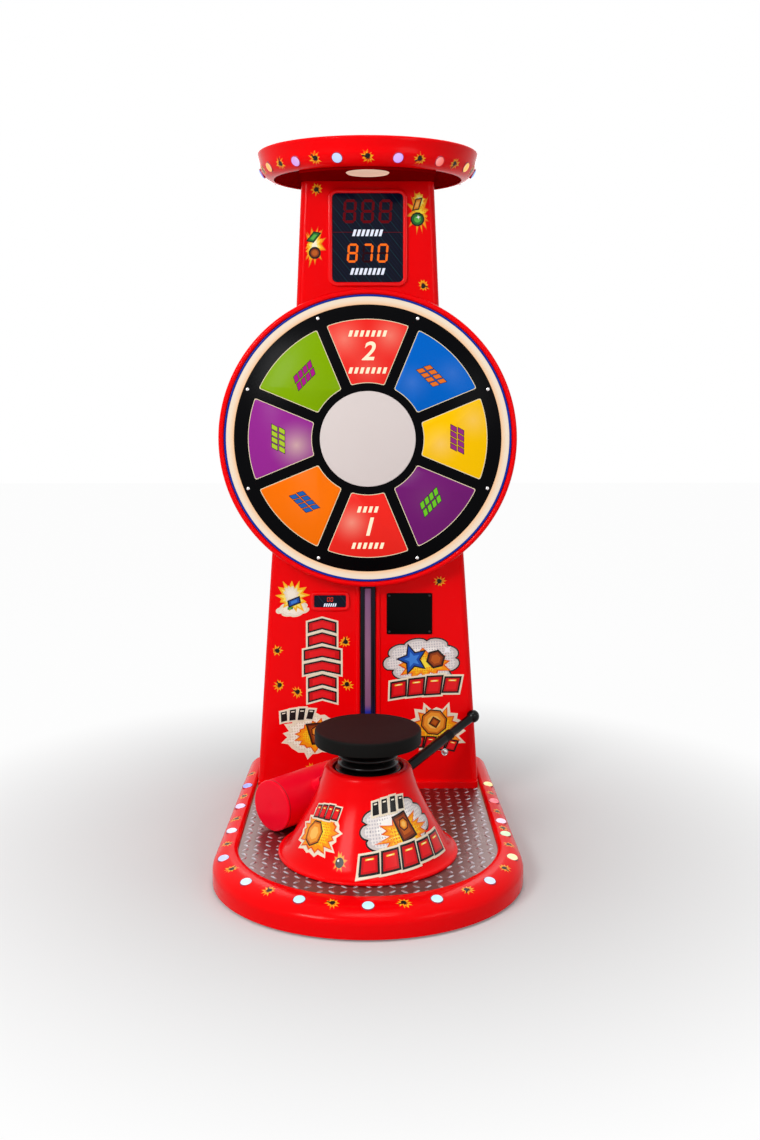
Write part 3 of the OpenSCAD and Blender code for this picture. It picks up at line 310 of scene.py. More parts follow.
def loft(name: str, rings: Sequence[Sequence[Vector | Point3]], look: Look, ring: bool = False,
         sharp_deg: float = 40) -> Piece:
    """Joins closed outlines with as many points each into one shell.

    Args:
        name: Name of the piece.
        rings: The outlines in the row frame.
        look: Finish of the piece.
        ring: Whether the last outline joins the first, as in a frame; otherwise both ends are closed.
        sharp_deg: Angle from which an edge stays sharp.

    Returns:
        The new piece.
    """
    count, total = len(rings[0]), len(rings)
    faces: list[list[int]] = []
    for k in range(total if ring else total - 1):
        a, b = k * count, (k + 1) % total * count
        faces += [[a + i, a + (i + 1) % count, b + (i + 1) % count, b + i] for i in range(count)]
    if not ring:
        faces += [list(range(count)), list(range((total - 1) * count, total * count))]
    return mesh_piece(name, [p for r in rings for p in r], faces, look, sharp_deg)


def slab(name: str, outline: Outline, layers: Sequence[Point2], place: Matrix, look: Look,
         sharp_deg: float = 40, ring: bool = False) -> Piece:
    """Makes a plate whose edge is drawn in by a given amount at each height.

    Args:
        name: Name of the piece.
        outline: Function from the drawn-in amount to the outline.
        layers: Drawn-in amount and height of each layer, from the back to the front.
        place: Where the plate lies.
        look: Finish of the piece.
        sharp_deg: Angle from which an edge stays sharp.
        ring: Whether the layers are the section of an open frame.

    Returns:
        The new plate.
    """
    rings = [[place @ Vector((x, y, height)) for x, y in outline(inset)] for inset, height in layers]
    return loft(name, rings, look, ring, sharp_deg)


def soft_edge(height: float, radius: float, low: float = 0.0) -> list[Point2]:
    """Layers of a plate whose front edge is rounded, as slab() takes them.

    Args:
        height: Height of the plate's front.
        radius: Radius of the rounded edge.
        low: Height of the plate's back.

    Returns:
        Drawn-in amounts and heights.
    """
    return [(0.0, low)] + [(radius - r, height - radius + h) for r, h in arc(0, 0, radius, 0, 90, 4)]


class Nodes:
    """Adds nodes to one node tree and links them, in few words."""

    def __init__(self, tree: Tree) -> None:
        """Takes the tree that the nodes go into."""
        self.tree = tree

    def put(self, socket: Socket, value: object) -> None:
        """Links an input to a socket, or sets it to a value.

        Args:
            socket: The input.
            value: An output socket or a value.
        """
        if isinstance(value, Socket):
            self.tree.links.new(value, socket)
        else:
            socket.default_value = value

    def add(self, kind: str, inputs: dict[str | int, object] | None = None, **settings: object
            ) -> bpy.types.Node:
        """Adds one node.

        Args:
            kind: Blender's name of the node type.
            inputs: Values or output sockets for its inputs, by name or number.
            **settings: Settings of the node itself, made first, since a group's inputs follow from its tree.

        Returns:
            The node.
        """
        node = self.tree.nodes.new(kind)
        for key, value in settings.items():
            setattr(node, key, value)
        for key, value in (inputs or {}).items():
            self.put(node.inputs[key], value)
        return node

    def out(self, kind: str, inputs: dict[str | int, object] | None = None, **settings: object) -> Socket:
        """Adds one node as add() does and returns its first output."""
        return self.add(kind, inputs, **settings).outputs[0]

    def place(self) -> Socket:
        """Object coordinates."""
        return self.add("ShaderNodeTexCoord").outputs["Object"]

    def noise(self, place: Socket, scale: object, detail: float = 2.0) -> Socket:
        """Noise at a scale."""
        return self.out("ShaderNodeTexNoise", {"Vector": place, "Scale": scale, "Detail": detail})

    def away(self, place: Socket, middle: object) -> Socket:
        """Distance of a place from a middle."""
        node = self.add("ShaderNodeVectorMath", {0: place, 1: middle}, operation="DISTANCE")
        return node.outputs["Value"]

    def math(self, operation: str, a: object, b: object = 0.0, c: object = 0.0, clamp: bool = False
             ) -> Socket:
        """Adds a Math node and returns its output."""
        return self.out("ShaderNodeMath", {0: a, 1: b, 2: c}, operation=operation, use_clamp=clamp)

    def times(self, a: object, b: object) -> Socket:
        """Product of two values."""
        return self.math("MULTIPLY", a, b)

    def share(self, value: Socket, low: float, span: float) -> Socket:
        """Share of the way that a value is from a low end through a span, from 0 to 1."""
        return self.math("DIVIDE", self.math("SUBTRACT", value, low), span, clamp=True)

    def group(self, group: "Group", **inputs: object) -> dict[str, Socket]:
        """Adds a shared group with its inputs and returns its outputs."""
        return self.add("ShaderNodeGroup", inputs, node_tree=group.tree()).outputs

    def blend(self, share: object, a: object, b: object) -> Socket:
        """Adds a mix of two colours, where the share is how much of the second shows.

        Args:
            share: Share of the second colour.
            a: First colour.
            b: Second colour.

        Returns:
            The mixed colour.
        """
        node = self.add("ShaderNodeMix", data_type="RGBA", blend_type="MIX")
        for socket, value in zip([s for s in node.inputs if s.enabled], (share, a, b)):
            self.put(socket, value)
        return next(s for s in node.outputs if s.enabled)

    def ramp(self, value: object, stops: Sequence[tuple[float, tuple[float, ...]]], steps: bool = False
             ) -> Socket:
        """Adds a colour ramp and returns its colour.

        Args:
            value: Socket that the ramp reads.
            stops: Position and colour of each stop.
            steps: Whether the colours change at once instead of blending.

        Returns:
            The ramp's colour socket.
        """
        node = self.add("ShaderNodeValToRGB", {0: value})
        band = node.color_ramp
        band.interpolation = "CONSTANT" if steps else "LINEAR"
        while len(band.elements) < len(stops):
            band.elements.new(0.5)
        for element, (position, colour) in zip(band.elements, stops):
            element.position, element.color = position, colour
        return node.outputs[0]

    def placed(self, points: Socket, shape: Socket, turn: Socket) -> Socket:
        """Instances of a shape on points, each turned."""
        inputs = {"Points": points, "Instance": shape, "Rotation": turn}
        return self.out("GeometryNodeInstanceOnPoints", inputs)

    def finished(self, geometry: Socket, material: Socket) -> Socket:
        """Makes instances real and gives them a material."""
        real = self.out("GeometryNodeRealizeInstances", {0: geometry})
        return self.out("GeometryNodeSetMaterial", {"Geometry": real, "Material": material})


@dataclass(frozen=True)
class Group:
    """A node tree that is built at its first use and shared after that.

    An input is given by its default number, vector or colour, or by the name of its socket type.
    """

    name: str
    fill: Callable[[Nodes, dict[str, Socket]], dict[str, Socket]]
    inputs: dict[str, object]
    outputs: dict[str, str]
    kind: str = "ShaderNodeTree"

    def tree(self) -> Tree:
        """The tree."""
        if self.name in bpy.data.node_groups:
            return bpy.data.node_groups[self.name]
        tree = bpy.data.node_groups.new(self.name, self.kind)
        for label, given in self.inputs.items():
            kind = given
            if not isinstance(given, str):
                kind = "Float" if isinstance(given, float) else {3: "Vector", 4: "Color"}[len(given)]
            socket = tree.interface.new_socket(label, in_out="INPUT", socket_type=f"NodeSocket{kind}")
            if kind != given:
                socket.default_value = given
        for label, kind in self.outputs.items():
            tree.interface.new_socket(label, in_out="OUTPUT", socket_type=f"NodeSocket{kind}")
        nodes = Nodes(tree)
        made = self.fill(nodes, nodes.add("NodeGroupInput").outputs)
        nodes.add("NodeGroupOutput", made)
        return tree


def fill_mottle(nodes: Nodes, given: dict[str, Socket]) -> dict[str, Socket]:
    """Varies a colour and a roughness with noise of two sizes, large clouds and fine grain.

    Args:
        nodes: The group's nodes.
        given: The group's inputs.

    Returns:
        The group's outputs.
    """
    place = nodes.place()
    clouds = nodes.noise(place, given["Scale"], 3.0)
    scale = nodes.times(given["Scale"], 17.0)
    fine = nodes.noise(place, scale)
    both = nodes.math("ADD", nodes.times(clouds, 0.7), nodes.times(fine, 0.3))
    swing = nodes.times(nodes.math("SUBTRACT", both, 0.5), given["Amount"])
    light = nodes.math("ADD", swing, 1.0)
    tinted = nodes.out("ShaderNodeVectorMath", {0: given["Colour"], "Scale": light}, operation="SCALE")
    rough = nodes.math("ADD", given["Roughness"], nodes.times(swing, given["Sheen swing"]), clamp=True)
    return {"Colour": tinted, "Roughness": rough}


def fill_relief(nodes: Nodes, given: dict[str, Socket]) -> dict[str, Socket]:
    """Height of noise, for waves in the shell, and of cells, for a pebbled grain, blended by Pebble.

    Args:
        nodes: The group's nodes.
        given: The group's inputs.

    Returns:
        The group's outputs.
    """
    place = nodes.place()
    waves = nodes.noise(place, given["Scale"], 4.0)
    cells = nodes.add("ShaderNodeTexVoronoi", {"Vector": place, "Scale": given["Scale"]}, feature="SMOOTH_F1")
    smooth = nodes.times(waves, nodes.math("SUBTRACT", 1.0, given["Pebble"]))
    return {"Height": nodes.math("ADD", smooth, nodes.times(cells.outputs["Distance"], given["Pebble"]))}


def fill_scuffs(nodes: Nodes, given: dict[str, Socket]) -> dict[str, Socket]:
    """Mask of thin scratches: noise stretched in two directions and cut to its thin crests.

    Args:
        nodes: The group's nodes.
        given: The group's inputs.

    Returns:
        The group's outputs.
    """
    place = nodes.place()
    crests = []
    for turn, stretch in ((0.4, (1.0, 14.0, 5.0)), (1.9, (12.0, 1.0, 7.0))):
        mapped = nodes.out("ShaderNodeMapping", {"Vector": place, "Rotation": (0.3, turn, turn),
                                                 "Scale": stretch})
        noise = nodes.noise(mapped, given["Scale"])
        away = nodes.math("ABSOLUTE", nodes.math("SUBTRACT", noise, 0.5))
        crests.append(nodes.math("LESS_THAN", away, given["Width"]))
    there = nodes.math("GREATER_THAN", nodes.noise(place, 9.0), 0.56)
    return {"Mask": nodes.times(nodes.math("MAXIMUM", *crests), there)}


def fill_spot(nodes: Nodes, given: dict[str, Socket]) -> dict[str, Socket]:
    """Mask of a soft round spot, as a bulb behind a pane makes: 1 at its middle and 0 outside it.

    Args:
        nodes: The group's nodes.
        given: The group's inputs.

    Returns:
        The group's outputs.
    """
    near = nodes.math("DIVIDE", nodes.away(nodes.place(), given["Middle"]), given["Radius"])
    fall = nodes.math("SUBTRACT", 1.0, near, clamp=True)
    return {"Mask": nodes.times(fall, fall)}


MOTTLE = Group("Mottled finish", fill_mottle,
               {"Colour": (0.8, 0.8, 0.8, 1.0), "Roughness": 0.5, "Scale": 6.0, "Amount": 0.1,
                "Sheen swing": 0.5}, {"Colour": "Color", "Roughness": "Float"})
RELIEF = Group("Fine relief", fill_relief, {"Scale": 60.0, "Pebble": 0.0}, {"Height": "Float"})
SCUFFS = Group("Thin scuffs", fill_scuffs, {"Scale": 5.0, "Width": 0.004}, {"Mask": "Float"})
SPOT = Group("Soft spot", fill_spot, {"Middle": (0.0, 0.0, 0.0), "Radius": 0.1}, {"Mask": "Float"})


@dataclass(frozen=True)
class Finish:
    """A finish whose colour, gloss and relief vary a little over the surface."""

    name: str
    colour: Rgb
    roughness: float
    metallic: float = 0.0
    specular: float = 0.5
    mottle_scale: float = 6.0
    mottle: float = 0.08
    relief_scale: float = 60.0
    relief: float = 0.0
    pebble: float = 0.0
    scuffs: float = 0.0
    scuff_colour: Rgb = (220, 220, 220)
    body: float = 1.0
    glow: float = 0.0
    glow_colour: Rgb | None = None

    def colour_socket(self, nodes: Nodes) -> object:
        """Colour before it is mottled; finishes with a pattern override this."""
        return linear(self.colour, self.body)

    def glow_socket(self, nodes: Nodes) -> object:
        """Colour of the light that the surface gives off, where it glows."""
        return linear(self.glow_colour or self.colour)

    @property
    def material(self) -> Material:
        """The material, built at its first use."""
        if self.name in bpy.data.materials:
            return bpy.data.materials[self.name]
        material = bpy.data.materials.new(self.name)
        material.use_nodes = True
        nodes = Nodes(material.node_tree)
        mottled = nodes.group(MOTTLE, Colour=self.colour_socket(nodes), Roughness=self.roughness,
                              Scale=self.mottle_scale, Amount=self.mottle)
        colour = mottled["Colour"]
        if self.scuffs:
            mask = nodes.group(SCUFFS, Width=0.003 + 0.004 * self.scuffs)["Mask"]
            colour = nodes.blend(nodes.times(mask, self.scuffs), colour, linear(self.scuff_colour))
        values = {"Base Color": colour, "Roughness": mottled["Roughness"], "Metallic": self.metallic,
                  "Specular IOR Level": self.specular}
        if self.relief:
            height = nodes.group(RELIEF, Scale=self.relief_scale, Pebble=self.pebble)["Height"]
            values["Normal"] = nodes.out("ShaderNodeBump", {"Strength": 1.0, "Distance": self.relief * MM,
                                                            "Height": height})
        if self.glow:
            values |= {"Emission Color": self.glow_socket(nodes), "Emission Strength": self.glow}
        for label, value in values.items():
            nodes.put(material.node_tree.nodes["Principled BSDF"].inputs[label], value)
        material.diffuse_color = linear(self.colour)
        return material


@dataclass(frozen=True)
class LitPane(Finish):
    """Translucent pane over lamps: its own colour glows, brighter where a bulb sits behind it."""

    bulbs: tuple[tuple[Point3, float, float], ...] = ()
    bulb_colour: Rgb = (255, 240, 220)

    def glow_socket(self, nodes: Nodes) -> object:
        """Adds a soft bright spot for each bulb to the pane's colour.

        Args:
            nodes: The material's nodes.

        Returns:
            The glow's colour.
        """
        glow: object = linear(self.colour)
        for middle, radius, share in self.bulbs:
            mask = nodes.group(SPOT, Middle=middle, Radius=radius)["Mask"]
            glow = nodes.blend(nodes.times(mask, share), glow, linear(self.bulb_colour))
        return glow


@dataclass(frozen=True)
class RoundGlow(Finish):
    """Glowing ring whose light is warmer towards its middle."""

    middle: Point3 = (0.0, 0.0, 0.0)
    inner: float = 0.1
    outer: float = 0.2
    inner_colour: Rgb = (255, 190, 130)

    def glow_socket(self, nodes: Nodes) -> object:
        """Blends from the inner colour to the outer one along the radius."""
        share = nodes.share(nodes.away(nodes.place(), self.middle), self.inner, self.outer - self.inner)
        return nodes.ramp(share, [(0.0, linear(self.inner_colour)), (0.6, linear(self.colour))])


@dataclass(frozen=True)
class LampGlass(Finish):
    """Glass cap of a small lamp: white in its middle, and its tint towards its rim."""

    core: float = 0.55

    def glow_socket(self, nodes: Nodes) -> object:
        """White where the cap faces the eye, tinted where it turns away.

        Args:
            nodes: The material's nodes.

        Returns:
            The glow's colour.
        """
        tint = nodes.add("ShaderNodeAttribute", attribute_name="tint").outputs["Color"]
        facing = nodes.add("ShaderNodeLayerWeight", {"Blend": 0.5}).outputs["Facing"]
        share = nodes.ramp(facing, [(0.05, (self.core, self.core, self.core, 1)), (0.55, (0, 0, 0, 1))])
        return nodes.blend(share, tint, WHITE)


@dataclass(frozen=True)
class PaintedReflectionGlass(Finish):
    """Dark glass with painted reflections: thin slanted lines in two colours."""

    reflection_colour: Rgb = (20, 70, 120)
    second_reflection_colour: Rgb = (30, 120, 120)
    pitch: float = 0.03
    slant: float = 0.9

    def colour_socket(self, nodes: Nodes) -> object:
        """Painted reflections: thin lines across the glass, every third one in the second colour.

        Args:
            nodes: The material's nodes.

        Returns:
            The surface's colour.
        """
        split = nodes.add("ShaderNodeSeparateXYZ", {0: nodes.place()}).outputs
        across = nodes.math("ADD", split["X"], nodes.times(split["Z"], self.slant))
        first = nodes.math("FRACT", nodes.math("DIVIDE", across, self.pitch))
        second = nodes.math("FRACT", nodes.math("DIVIDE", across, self.pitch * 3))
        reflection_lines = nodes.blend(nodes.math("LESS_THAN", first, 0.09), linear(self.colour),
                            linear(self.reflection_colour))
        return nodes.blend(nodes.math("LESS_THAN", second, 0.06), reflection_lines, linear(self.second_reflection_colour))

    def glow_socket(self, nodes: Nodes) -> object:
        """The glass and its painted reflection lines glow in their own colours."""
        return self.colour_socket(nodes)


@dataclass(frozen=True)
class Banded(Finish):
    """Colours in bands along the height of the piece, which also glow where it has a glow."""

    low: float = 0.0
    high: float = 1.0
    bands: tuple[tuple[float, Rgb], ...] = ()
    blended: bool = True

    def colour_socket(self, nodes: Nodes) -> object:
        """Ramp from the low end to the high end.

        Args:
            nodes: The material's nodes.

        Returns:
            The surface's colour.
        """
        height = nodes.add("ShaderNodeSeparateXYZ", {0: nodes.place()}).outputs["Z"]
        share = nodes.share(height, self.low, self.high - self.low)
        return nodes.ramp(share, [(at, linear(colour)) for at, colour in self.bands], steps=not self.blended)

    def glow_socket(self, nodes: Nodes) -> object:
        """The bands glow in their own colours."""
        return self.colour_socket(nodes)


@dataclass(frozen=True)
class PaintedTopSheen(Finish):
    """Dark rubber whose top face is painted browner than its side: a painted reddish sheen where it faces up.
    """

    top_sheen_colour: Rgb = (38, 18, 18)

    def colour_socket(self, nodes: Nodes) -> object:
        """Blends to the painted sheen colour by how far the surface faces up.

        Args:
            nodes: The material's nodes.

        Returns:
            The surface's colour.
        """
        normal = nodes.add("ShaderNodeNewGeometry").outputs["Normal"]
        up = nodes.add("ShaderNodeSeparateXYZ", {0: normal}).outputs["Z"]
        share = nodes.ramp(up, [(0.55, (0, 0, 0, 1)), (0.95, WHITE)])
        return nodes.blend(share, linear(self.colour), linear(self.top_sheen_colour))


@dataclass(frozen=True)
class Printed(Finish):
    """Printed film: bands of colour that follow its outline, with dots in one of them."""

    roughness: float = 0.32
    specular: float = 0.2
    mottle: float = 0.05
    stops: tuple[tuple[float, Rgb], ...] = ()
    dot_colour: Rgb | None = None
    dot_scale: float = 14.0
    dots_from: float = 0.0
    dots_to: float = 1.0

    def colour_socket(self, nodes: Nodes) -> object:
        """Ramp on the share of the way from the middle to the edge, with a grid of dots.

        Args:
            nodes: The material's nodes.

        Returns:
            The surface's colour.
        """
        reach = nodes.add("ShaderNodeAttribute", attribute_name="reach").outputs["Fac"]
        colour = nodes.ramp(reach, [(at, linear(value)) for at, value in self.stops], steps=True)
        if self.dot_colour is None:
            return colour
        place = nodes.out("ShaderNodeUVMap", uv_map="Print")
        cells = {"Vector": place, "Scale": self.dot_scale, "Randomness": 0.0}
        far = nodes.out("ShaderNodeTexVoronoi", cells, feature="F1", voronoi_dimensions="2D")
        dot = nodes.math("LESS_THAN", far, 0.3)
        after = nodes.math("GREATER_THAN", reach, self.dots_from)
        before = nodes.math("LESS_THAN", reach, self.dots_to)
        there = nodes.times(nodes.times(after, before), dot)
        return nodes.blend(there, colour, linear(self.dot_colour))


class Shade(Enum):
    """Every finish of the machine, by the name of its material."""

    RED_SHELL = Finish("Red gloss shell", (244, 2, 8), 0.17, specular=0.06, mottle=0.05, mottle_scale=3.0,
                       relief=0.5, relief_scale=9.0, scuffs=0.05, scuff_colour=(240, 90, 90))
    RED_TOP = Finish("Red dull top", (238, 2, 8), 0.5, specular=0.0, mottle=0.05, mottle_scale=3.0)
    # Soffit plate under the canopy: the shell's red darkened to about half, as painted shade under the hood,
    # and without gloss.
    RED_SOFFIT_SHADED = Finish("Red soffit painted shade", (128, 0, 2), 0.4, specular=0.0)
    RED_TRIM = Finish("Red moulded frame", (244, 2, 8), 0.15, specular=0.2, mottle=0.05, relief=0.08,
                      relief_scale=220.0)
    TREAD = Finish("Tread aluminium", (126, 106, 104), 0.34, metallic=1.0, mottle=0.3, mottle_scale=9.0,
                   relief=0.12, relief_scale=240.0, scuffs=0.4, scuff_colour=(206, 196, 196))
    TREAD_BAR = Finish("Tread bar", (184, 178, 184), 0.3, metallic=1.0, mottle=0.6, mottle_scale=30.0,
                       relief=0.06, relief_scale=300.0)
    # The pad's top face is painted browner, a painted reddish sheen.
    PAD = PaintedTopSheen("Strike pad rubber", (17, 17, 16), 0.62, specular=0.06, mottle=0.3, mottle_scale=12.0,
                  relief=0.12, relief_scale=420.0, pebble=1.0)
    BELLOWS = Finish("Bellows rubber", (9, 8, 8), 0.2, specular=0.25, mottle=0.1)
    SATIN_BLACK = Finish("Satin black", (5, 6, 6), 0.36, specular=0.04, mottle=0.15, relief=0.05,
                         relief_scale=500.0)
    FACE_BLACK = Finish("Printed black face", (6, 6, 8), 0.26, specular=0.03, mottle=0.12)
    BLUE_TRIM = Finish("Blue trim", (0, 42, 150), 0.3, specular=0.1, glow=0.12)
    GLOW_RING = RoundGlow("Glowing cream ring", (250, 230, 206), 0.4, specular=0.05, body=0.3, glow=0.66,
                          middle=(0.0, 0.277, 1.257), inner=0.438, outer=0.464)
    CREAM = Finish("Cream line", (242, 226, 190), 0.4, specular=0.05, body=0.5, glow=0.4,
                   glow_colour=(244, 226, 186))
    HUB = Finish("Pale hub", (214, 203, 200), 0.34, specular=0.08, mottle=0.03, glow=0.05,
                 glow_colour=(244, 234, 232))
    CHROME = Finish("Bright steel", (226, 224, 224), 0.16, metallic=1.0, mottle=0.06)
    STEEL = Finish("Turned steel", (150, 150, 154), 0.34, metallic=1.0, mottle=0.12, relief=0.05,
                   relief_scale=320.0)
    FRAME_STEEL = Finish("Powder-coated steel", (66, 66, 70), 0.5, metallic=0.2, mottle=0.1, relief=0.12,
                         relief_scale=600.0, pebble=1.0)
    BRASS = Finish("Bronze", (176, 130, 70), 0.32, metallic=1.0, mottle=0.15)
    SPRING = Finish("Spring steel", (120, 122, 128), 0.28, metallic=1.0, mottle=0.1)
    SCREW_DARK = Finish("Blackened screw", (54, 54, 56), 0.35, metallic=0.6, specular=0.2)
    RUBBER = Finish("Foot rubber", (24, 24, 25), 0.75, specular=0.25, mottle=0.3, relief=0.1,
                    relief_scale=300.0, pebble=1.0)
    WOOD = Banded("Plywood deck", (150, 112, 72), 0.6, low=0.05, high=0.066, blended=False, mottle=0.25,
                  mottle_scale=20.0, bands=((0.0, (164, 126, 84)), (0.2, (120, 84, 52)),
                                            (0.4, (166, 128, 86)), (0.6, (118, 84, 52)),
                                            (0.8, (170, 132, 90))))
    SENSOR = Finish("Sensor rubber", (20, 52, 34), 0.6, mottle=0.1)
    BOARD = Finish("Green circuit board", (14, 84, 44), 0.35, mottle=0.3, mottle_scale=60.0)
    BOX_GREY = Finish("Grey sheet steel", (122, 124, 128), 0.45, metallic=0.7, mottle=0.1, scuffs=0.2)
    ALUMINIUM = Finish("Drawn aluminium", (190, 191, 194), 0.36, metallic=1.0, mottle=0.1, relief=0.05,
                       relief_scale=300.0)
    BACKER = Finish("White light board", (236, 234, 226), 0.5, mottle=0.04)
    VINYL = Finish("Soft red vinyl", (250, 8, 42), 0.3, specular=0.1, mottle=0.06, mottle_scale=14.0,
                   relief=0.12, relief_scale=380.0, pebble=1.0)
    SEAM = Finish("Vinyl seam", (176, 4, 26), 0.5, mottle=0.1)
    GRIP = Finish("Gloss black grip", (4, 4, 5), 0.13, specular=0.16, mottle=0.1, relief=0.05,
                  relief_scale=160.0)
    STRIP = Banded("Violet light strip", (128, 88, 118), 0.35, specular=0.1, low=0.3, high=0.764, glow=0.25,
                   bands=((0.0, (24, 40, 150)), (0.07, (30, 40, 140)), (0.12, (120, 76, 110)),
                          (0.5, (134, 92, 120)), (1.0, (118, 80, 116))))
    CHANNEL = Banded("Black strip channel", (12, 12, 26), 0.25, specular=0.15, low=0.3, high=0.764,
                     bands=((0.0, (10, 14, 60)), (0.2, (8, 8, 14)), (0.8, (10, 9, 18)), (1.0, (16, 12, 34))))
    # The display glass carries painted reflections: its slanted lines, which glow with the glass.
    DISPLAY = PaintedReflectionGlass("Display glass", (6, 9, 24), 0.12, specular=0.1, body=0.5, glow=0.5,
                         reflection_colour=(10, 20, 48), second_reflection_colour=(12, 40, 52), pitch=0.0125, slant=0.8)
    DIM_DIGIT = Finish("Unlit digit", (96, 10, 18), 0.3, specular=0.03, body=0.5, glow=0.5,
                       glow_colour=(104, 10, 20))
    DARK_DIGIT = Finish("Dark digit", (40, 8, 16), 0.3, specular=0.03, body=0.5, glow=0.5,
                        glow_colour=(44, 8, 16))
    LIT_DIGIT = Finish("Lit orange digit", (255, 110, 26), 0.4, specular=0.03, body=0.1, glow=1.0,
                       glow_colour=(255, 112, 28))
    LIT_RED = Finish("Lit red digit", (236, 50, 24), 0.4, specular=0.03, body=0.1, glow=0.9,
                     glow_colour=(240, 56, 30))
    LAMP = LampGlass("Lamp glass", (230, 235, 255), 0.12, specular=0.3, body=0.1, glow=1.0, core=0.25)
    LAMP_RIM = Finish("Lamp rim", (176, 40, 66), 0.2, specular=0.3)
    WARM_LENS = Finish("Warm lens", (240, 206, 186), 0.3, specular=0.2, body=0.4, glow=0.6,
                       glow_colour=(246, 206, 180))

    @property
    def material(self) -> Material:
        """Material of this finish."""
        return self.value.material


def grown(name: str, base: bpy.types.Mesh, group: Group, **inputs: object) -> Piece:
    """Runs a Geometry Nodes tree on a mesh and keeps the result as a plain mesh.

    Args:
        name: Name of the finished piece.
        base: Mesh that the tree starts from.
        group: The tree.
        **inputs: Value of each named input.

    Returns:
        The finished piece, without the modifier.
    """
    source = in_scene(f"{name}_points", base)
    modifier = source.modifiers.new("Repeat", "NODES")
    modifier.node_group = group.tree()
    sockets = {s.name: s.identifier for s in group.tree().interface.items_tree if s.in_out == "INPUT"}
    for label, value in inputs.items():
        modifier[sockets[label]] = value
    made = plain_mesh(source)
    made.name = name
    for index in reversed(range(len(made.materials))):
        if made.materials[index] is None:
            made.materials.pop(index=index)
    return in_scene(name, made)


def fill_copies(nodes: Nodes, given: dict[str, Socket]) -> dict[str, Socket]:
    """Sets a shape on every point by the point's own turn; an attribute tells the rim's faces.

    Args:
        nodes: The group's nodes.
        given: The group's inputs.

    Returns:
        The group's outputs.
    """
    shape = nodes.add("GeometryNodeObjectInfo", {"Object": given["Shape"]}).outputs["Geometry"]
    turn = nodes.out("GeometryNodeInputNamedAttribute", {"Name": "turn"}, data_type="FLOAT_VECTOR")
    points = nodes.out("GeometryNodeMeshToPoints", {"Mesh": given["Geometry"]})
    cap = nodes.finished(nodes.placed(points, shape, turn), given["Cap"])
    rim = nodes.out("GeometryNodeInputNamedAttribute", {"Name": "rim"}, data_type="BOOLEAN")
    both = {"Geometry": cap, "Selection": rim, "Material": given["Rim"]}
    return {"Geometry": nodes.out("GeometryNodeSetMaterial", both)}


def fill_tread(nodes: Nodes, given: dict[str, Socket]) -> dict[str, Socket]:
    """Raises short slanted bars on a plate, turned the other way in every other place.

    Args:
        nodes: The group's nodes.
        given: The group's inputs.

    Returns:
        The group's outputs.
    """
    pitch, columns, rows = (given[k] for k in ("Pitch", "Columns", "Rows"))
    grid = nodes.out("GeometryNodeMeshGrid", {
        "Size X": nodes.times(pitch, nodes.math("SUBTRACT", columns, 1.0)),
        "Size Y": nodes.times(pitch, nodes.math("SUBTRACT", rows, 1.0)),
        "Vertices X": columns, "Vertices Y": rows})
    lift = nodes.out("ShaderNodeCombineXYZ", {"Z": given["Top"]})
    lifted = nodes.out("GeometryNodeTransform", {"Geometry": grid, "Translation": lift})
    points = nodes.out("GeometryNodeMeshToPoints", {"Mesh": lifted})
    plate = nodes.add("GeometryNodeObjectInfo", {"Object": given["Plate"]}).outputs["Geometry"]
    hit = nodes.out("GeometryNodeRaycast", {"Target Geometry": plate, "Ray Direction": (0.0, 0.0, -1.0),
                                            "Ray Length": 0.02})
    off = nodes.out("FunctionNodeBooleanMath", {0: hit}, operation="NOT")
    kept = nodes.out("GeometryNodeDeleteGeometry", {"Geometry": points, "Selection": off}, domain="POINT")
    where = nodes.add("ShaderNodeSeparateXYZ", {0: nodes.out("GeometryNodeInputPosition")}).outputs
    column, row = (nodes.math("FLOOR", nodes.math("DIVIDE", where[axis], pitch)) for axis in "XY")
    odd = nodes.math("FLOORED_MODULO", nodes.math("ADD", column, row), 2.0)
    angle = nodes.times(nodes.math("SUBTRACT", odd, 0.5), pi / 2)
    turn = nodes.out("ShaderNodeCombineXYZ", {"Z": angle})
    ball = nodes.out("GeometryNodeMeshUVSphere", {"Segments": 12, "Rings": 4, "Radius": 1.0})
    bar = nodes.out("GeometryNodeTransform", {"Geometry": ball, "Scale": given["Bar"]})
    return {"Geometry": nodes.finished(nodes.placed(kept, bar, turn), given["Material"])}


def fill_coil(nodes: Nodes, given: dict[str, Socket]) -> dict[str, Socket]:
    """Winds a round wire into a coil spring: a spiral curve swept with a circle.

    Args:
        nodes: The group's nodes.
        given: The group's inputs.

    Returns:
        The group's outputs.
    """
    line = nodes.out("GeometryNodeCurveSpiral", {
        "Resolution": 28, "Rotations": given["Turns"], "Start Radius": given["Radius"],
        "End Radius": given["Radius"], "Height": given["Height"]})
    wire = nodes.out("GeometryNodeCurvePrimitiveCircle", {"Resolution": 10, "Radius": given["Wire"]})
    swept = nodes.out("GeometryNodeCurveToMesh", {"Curve": line, "Profile Curve": wire, "Fill Caps": True})
    return {"Geometry": nodes.finished(swept, given["Material"])}


def growth(name: str, fill: Callable, **inputs: str) -> Group:
    """Describes a Geometry Nodes tree by the socket type of each input after the geometry."""
    return Group(name, fill, {"Geometry": "Geometry"} | inputs, {"Geometry": "Geometry"}, "GeometryNodeTree")


COPIES = growth("Copies on points", fill_copies, Shape="Object", Cap="Material", Rim="Material")
TREAD_BARS = growth("Tread bars", fill_tread, Plate="Object", Pitch="Float", Columns="Int", Rows="Int",
                    Bar="Vector", Top="Float", Material="Material")
COIL = growth("Coil spring", fill_coil, Radius="Float", Height="Float", Turns="Float", Wire="Float",
              Material="Material")


@dataclass(frozen=True)
class Spot:
    """Place of one repeated shape: its middle, the way its own Z axis points, and its tint."""

    at: Vector
    facing: Vector
    tint: Rgb = (255, 255, 255)


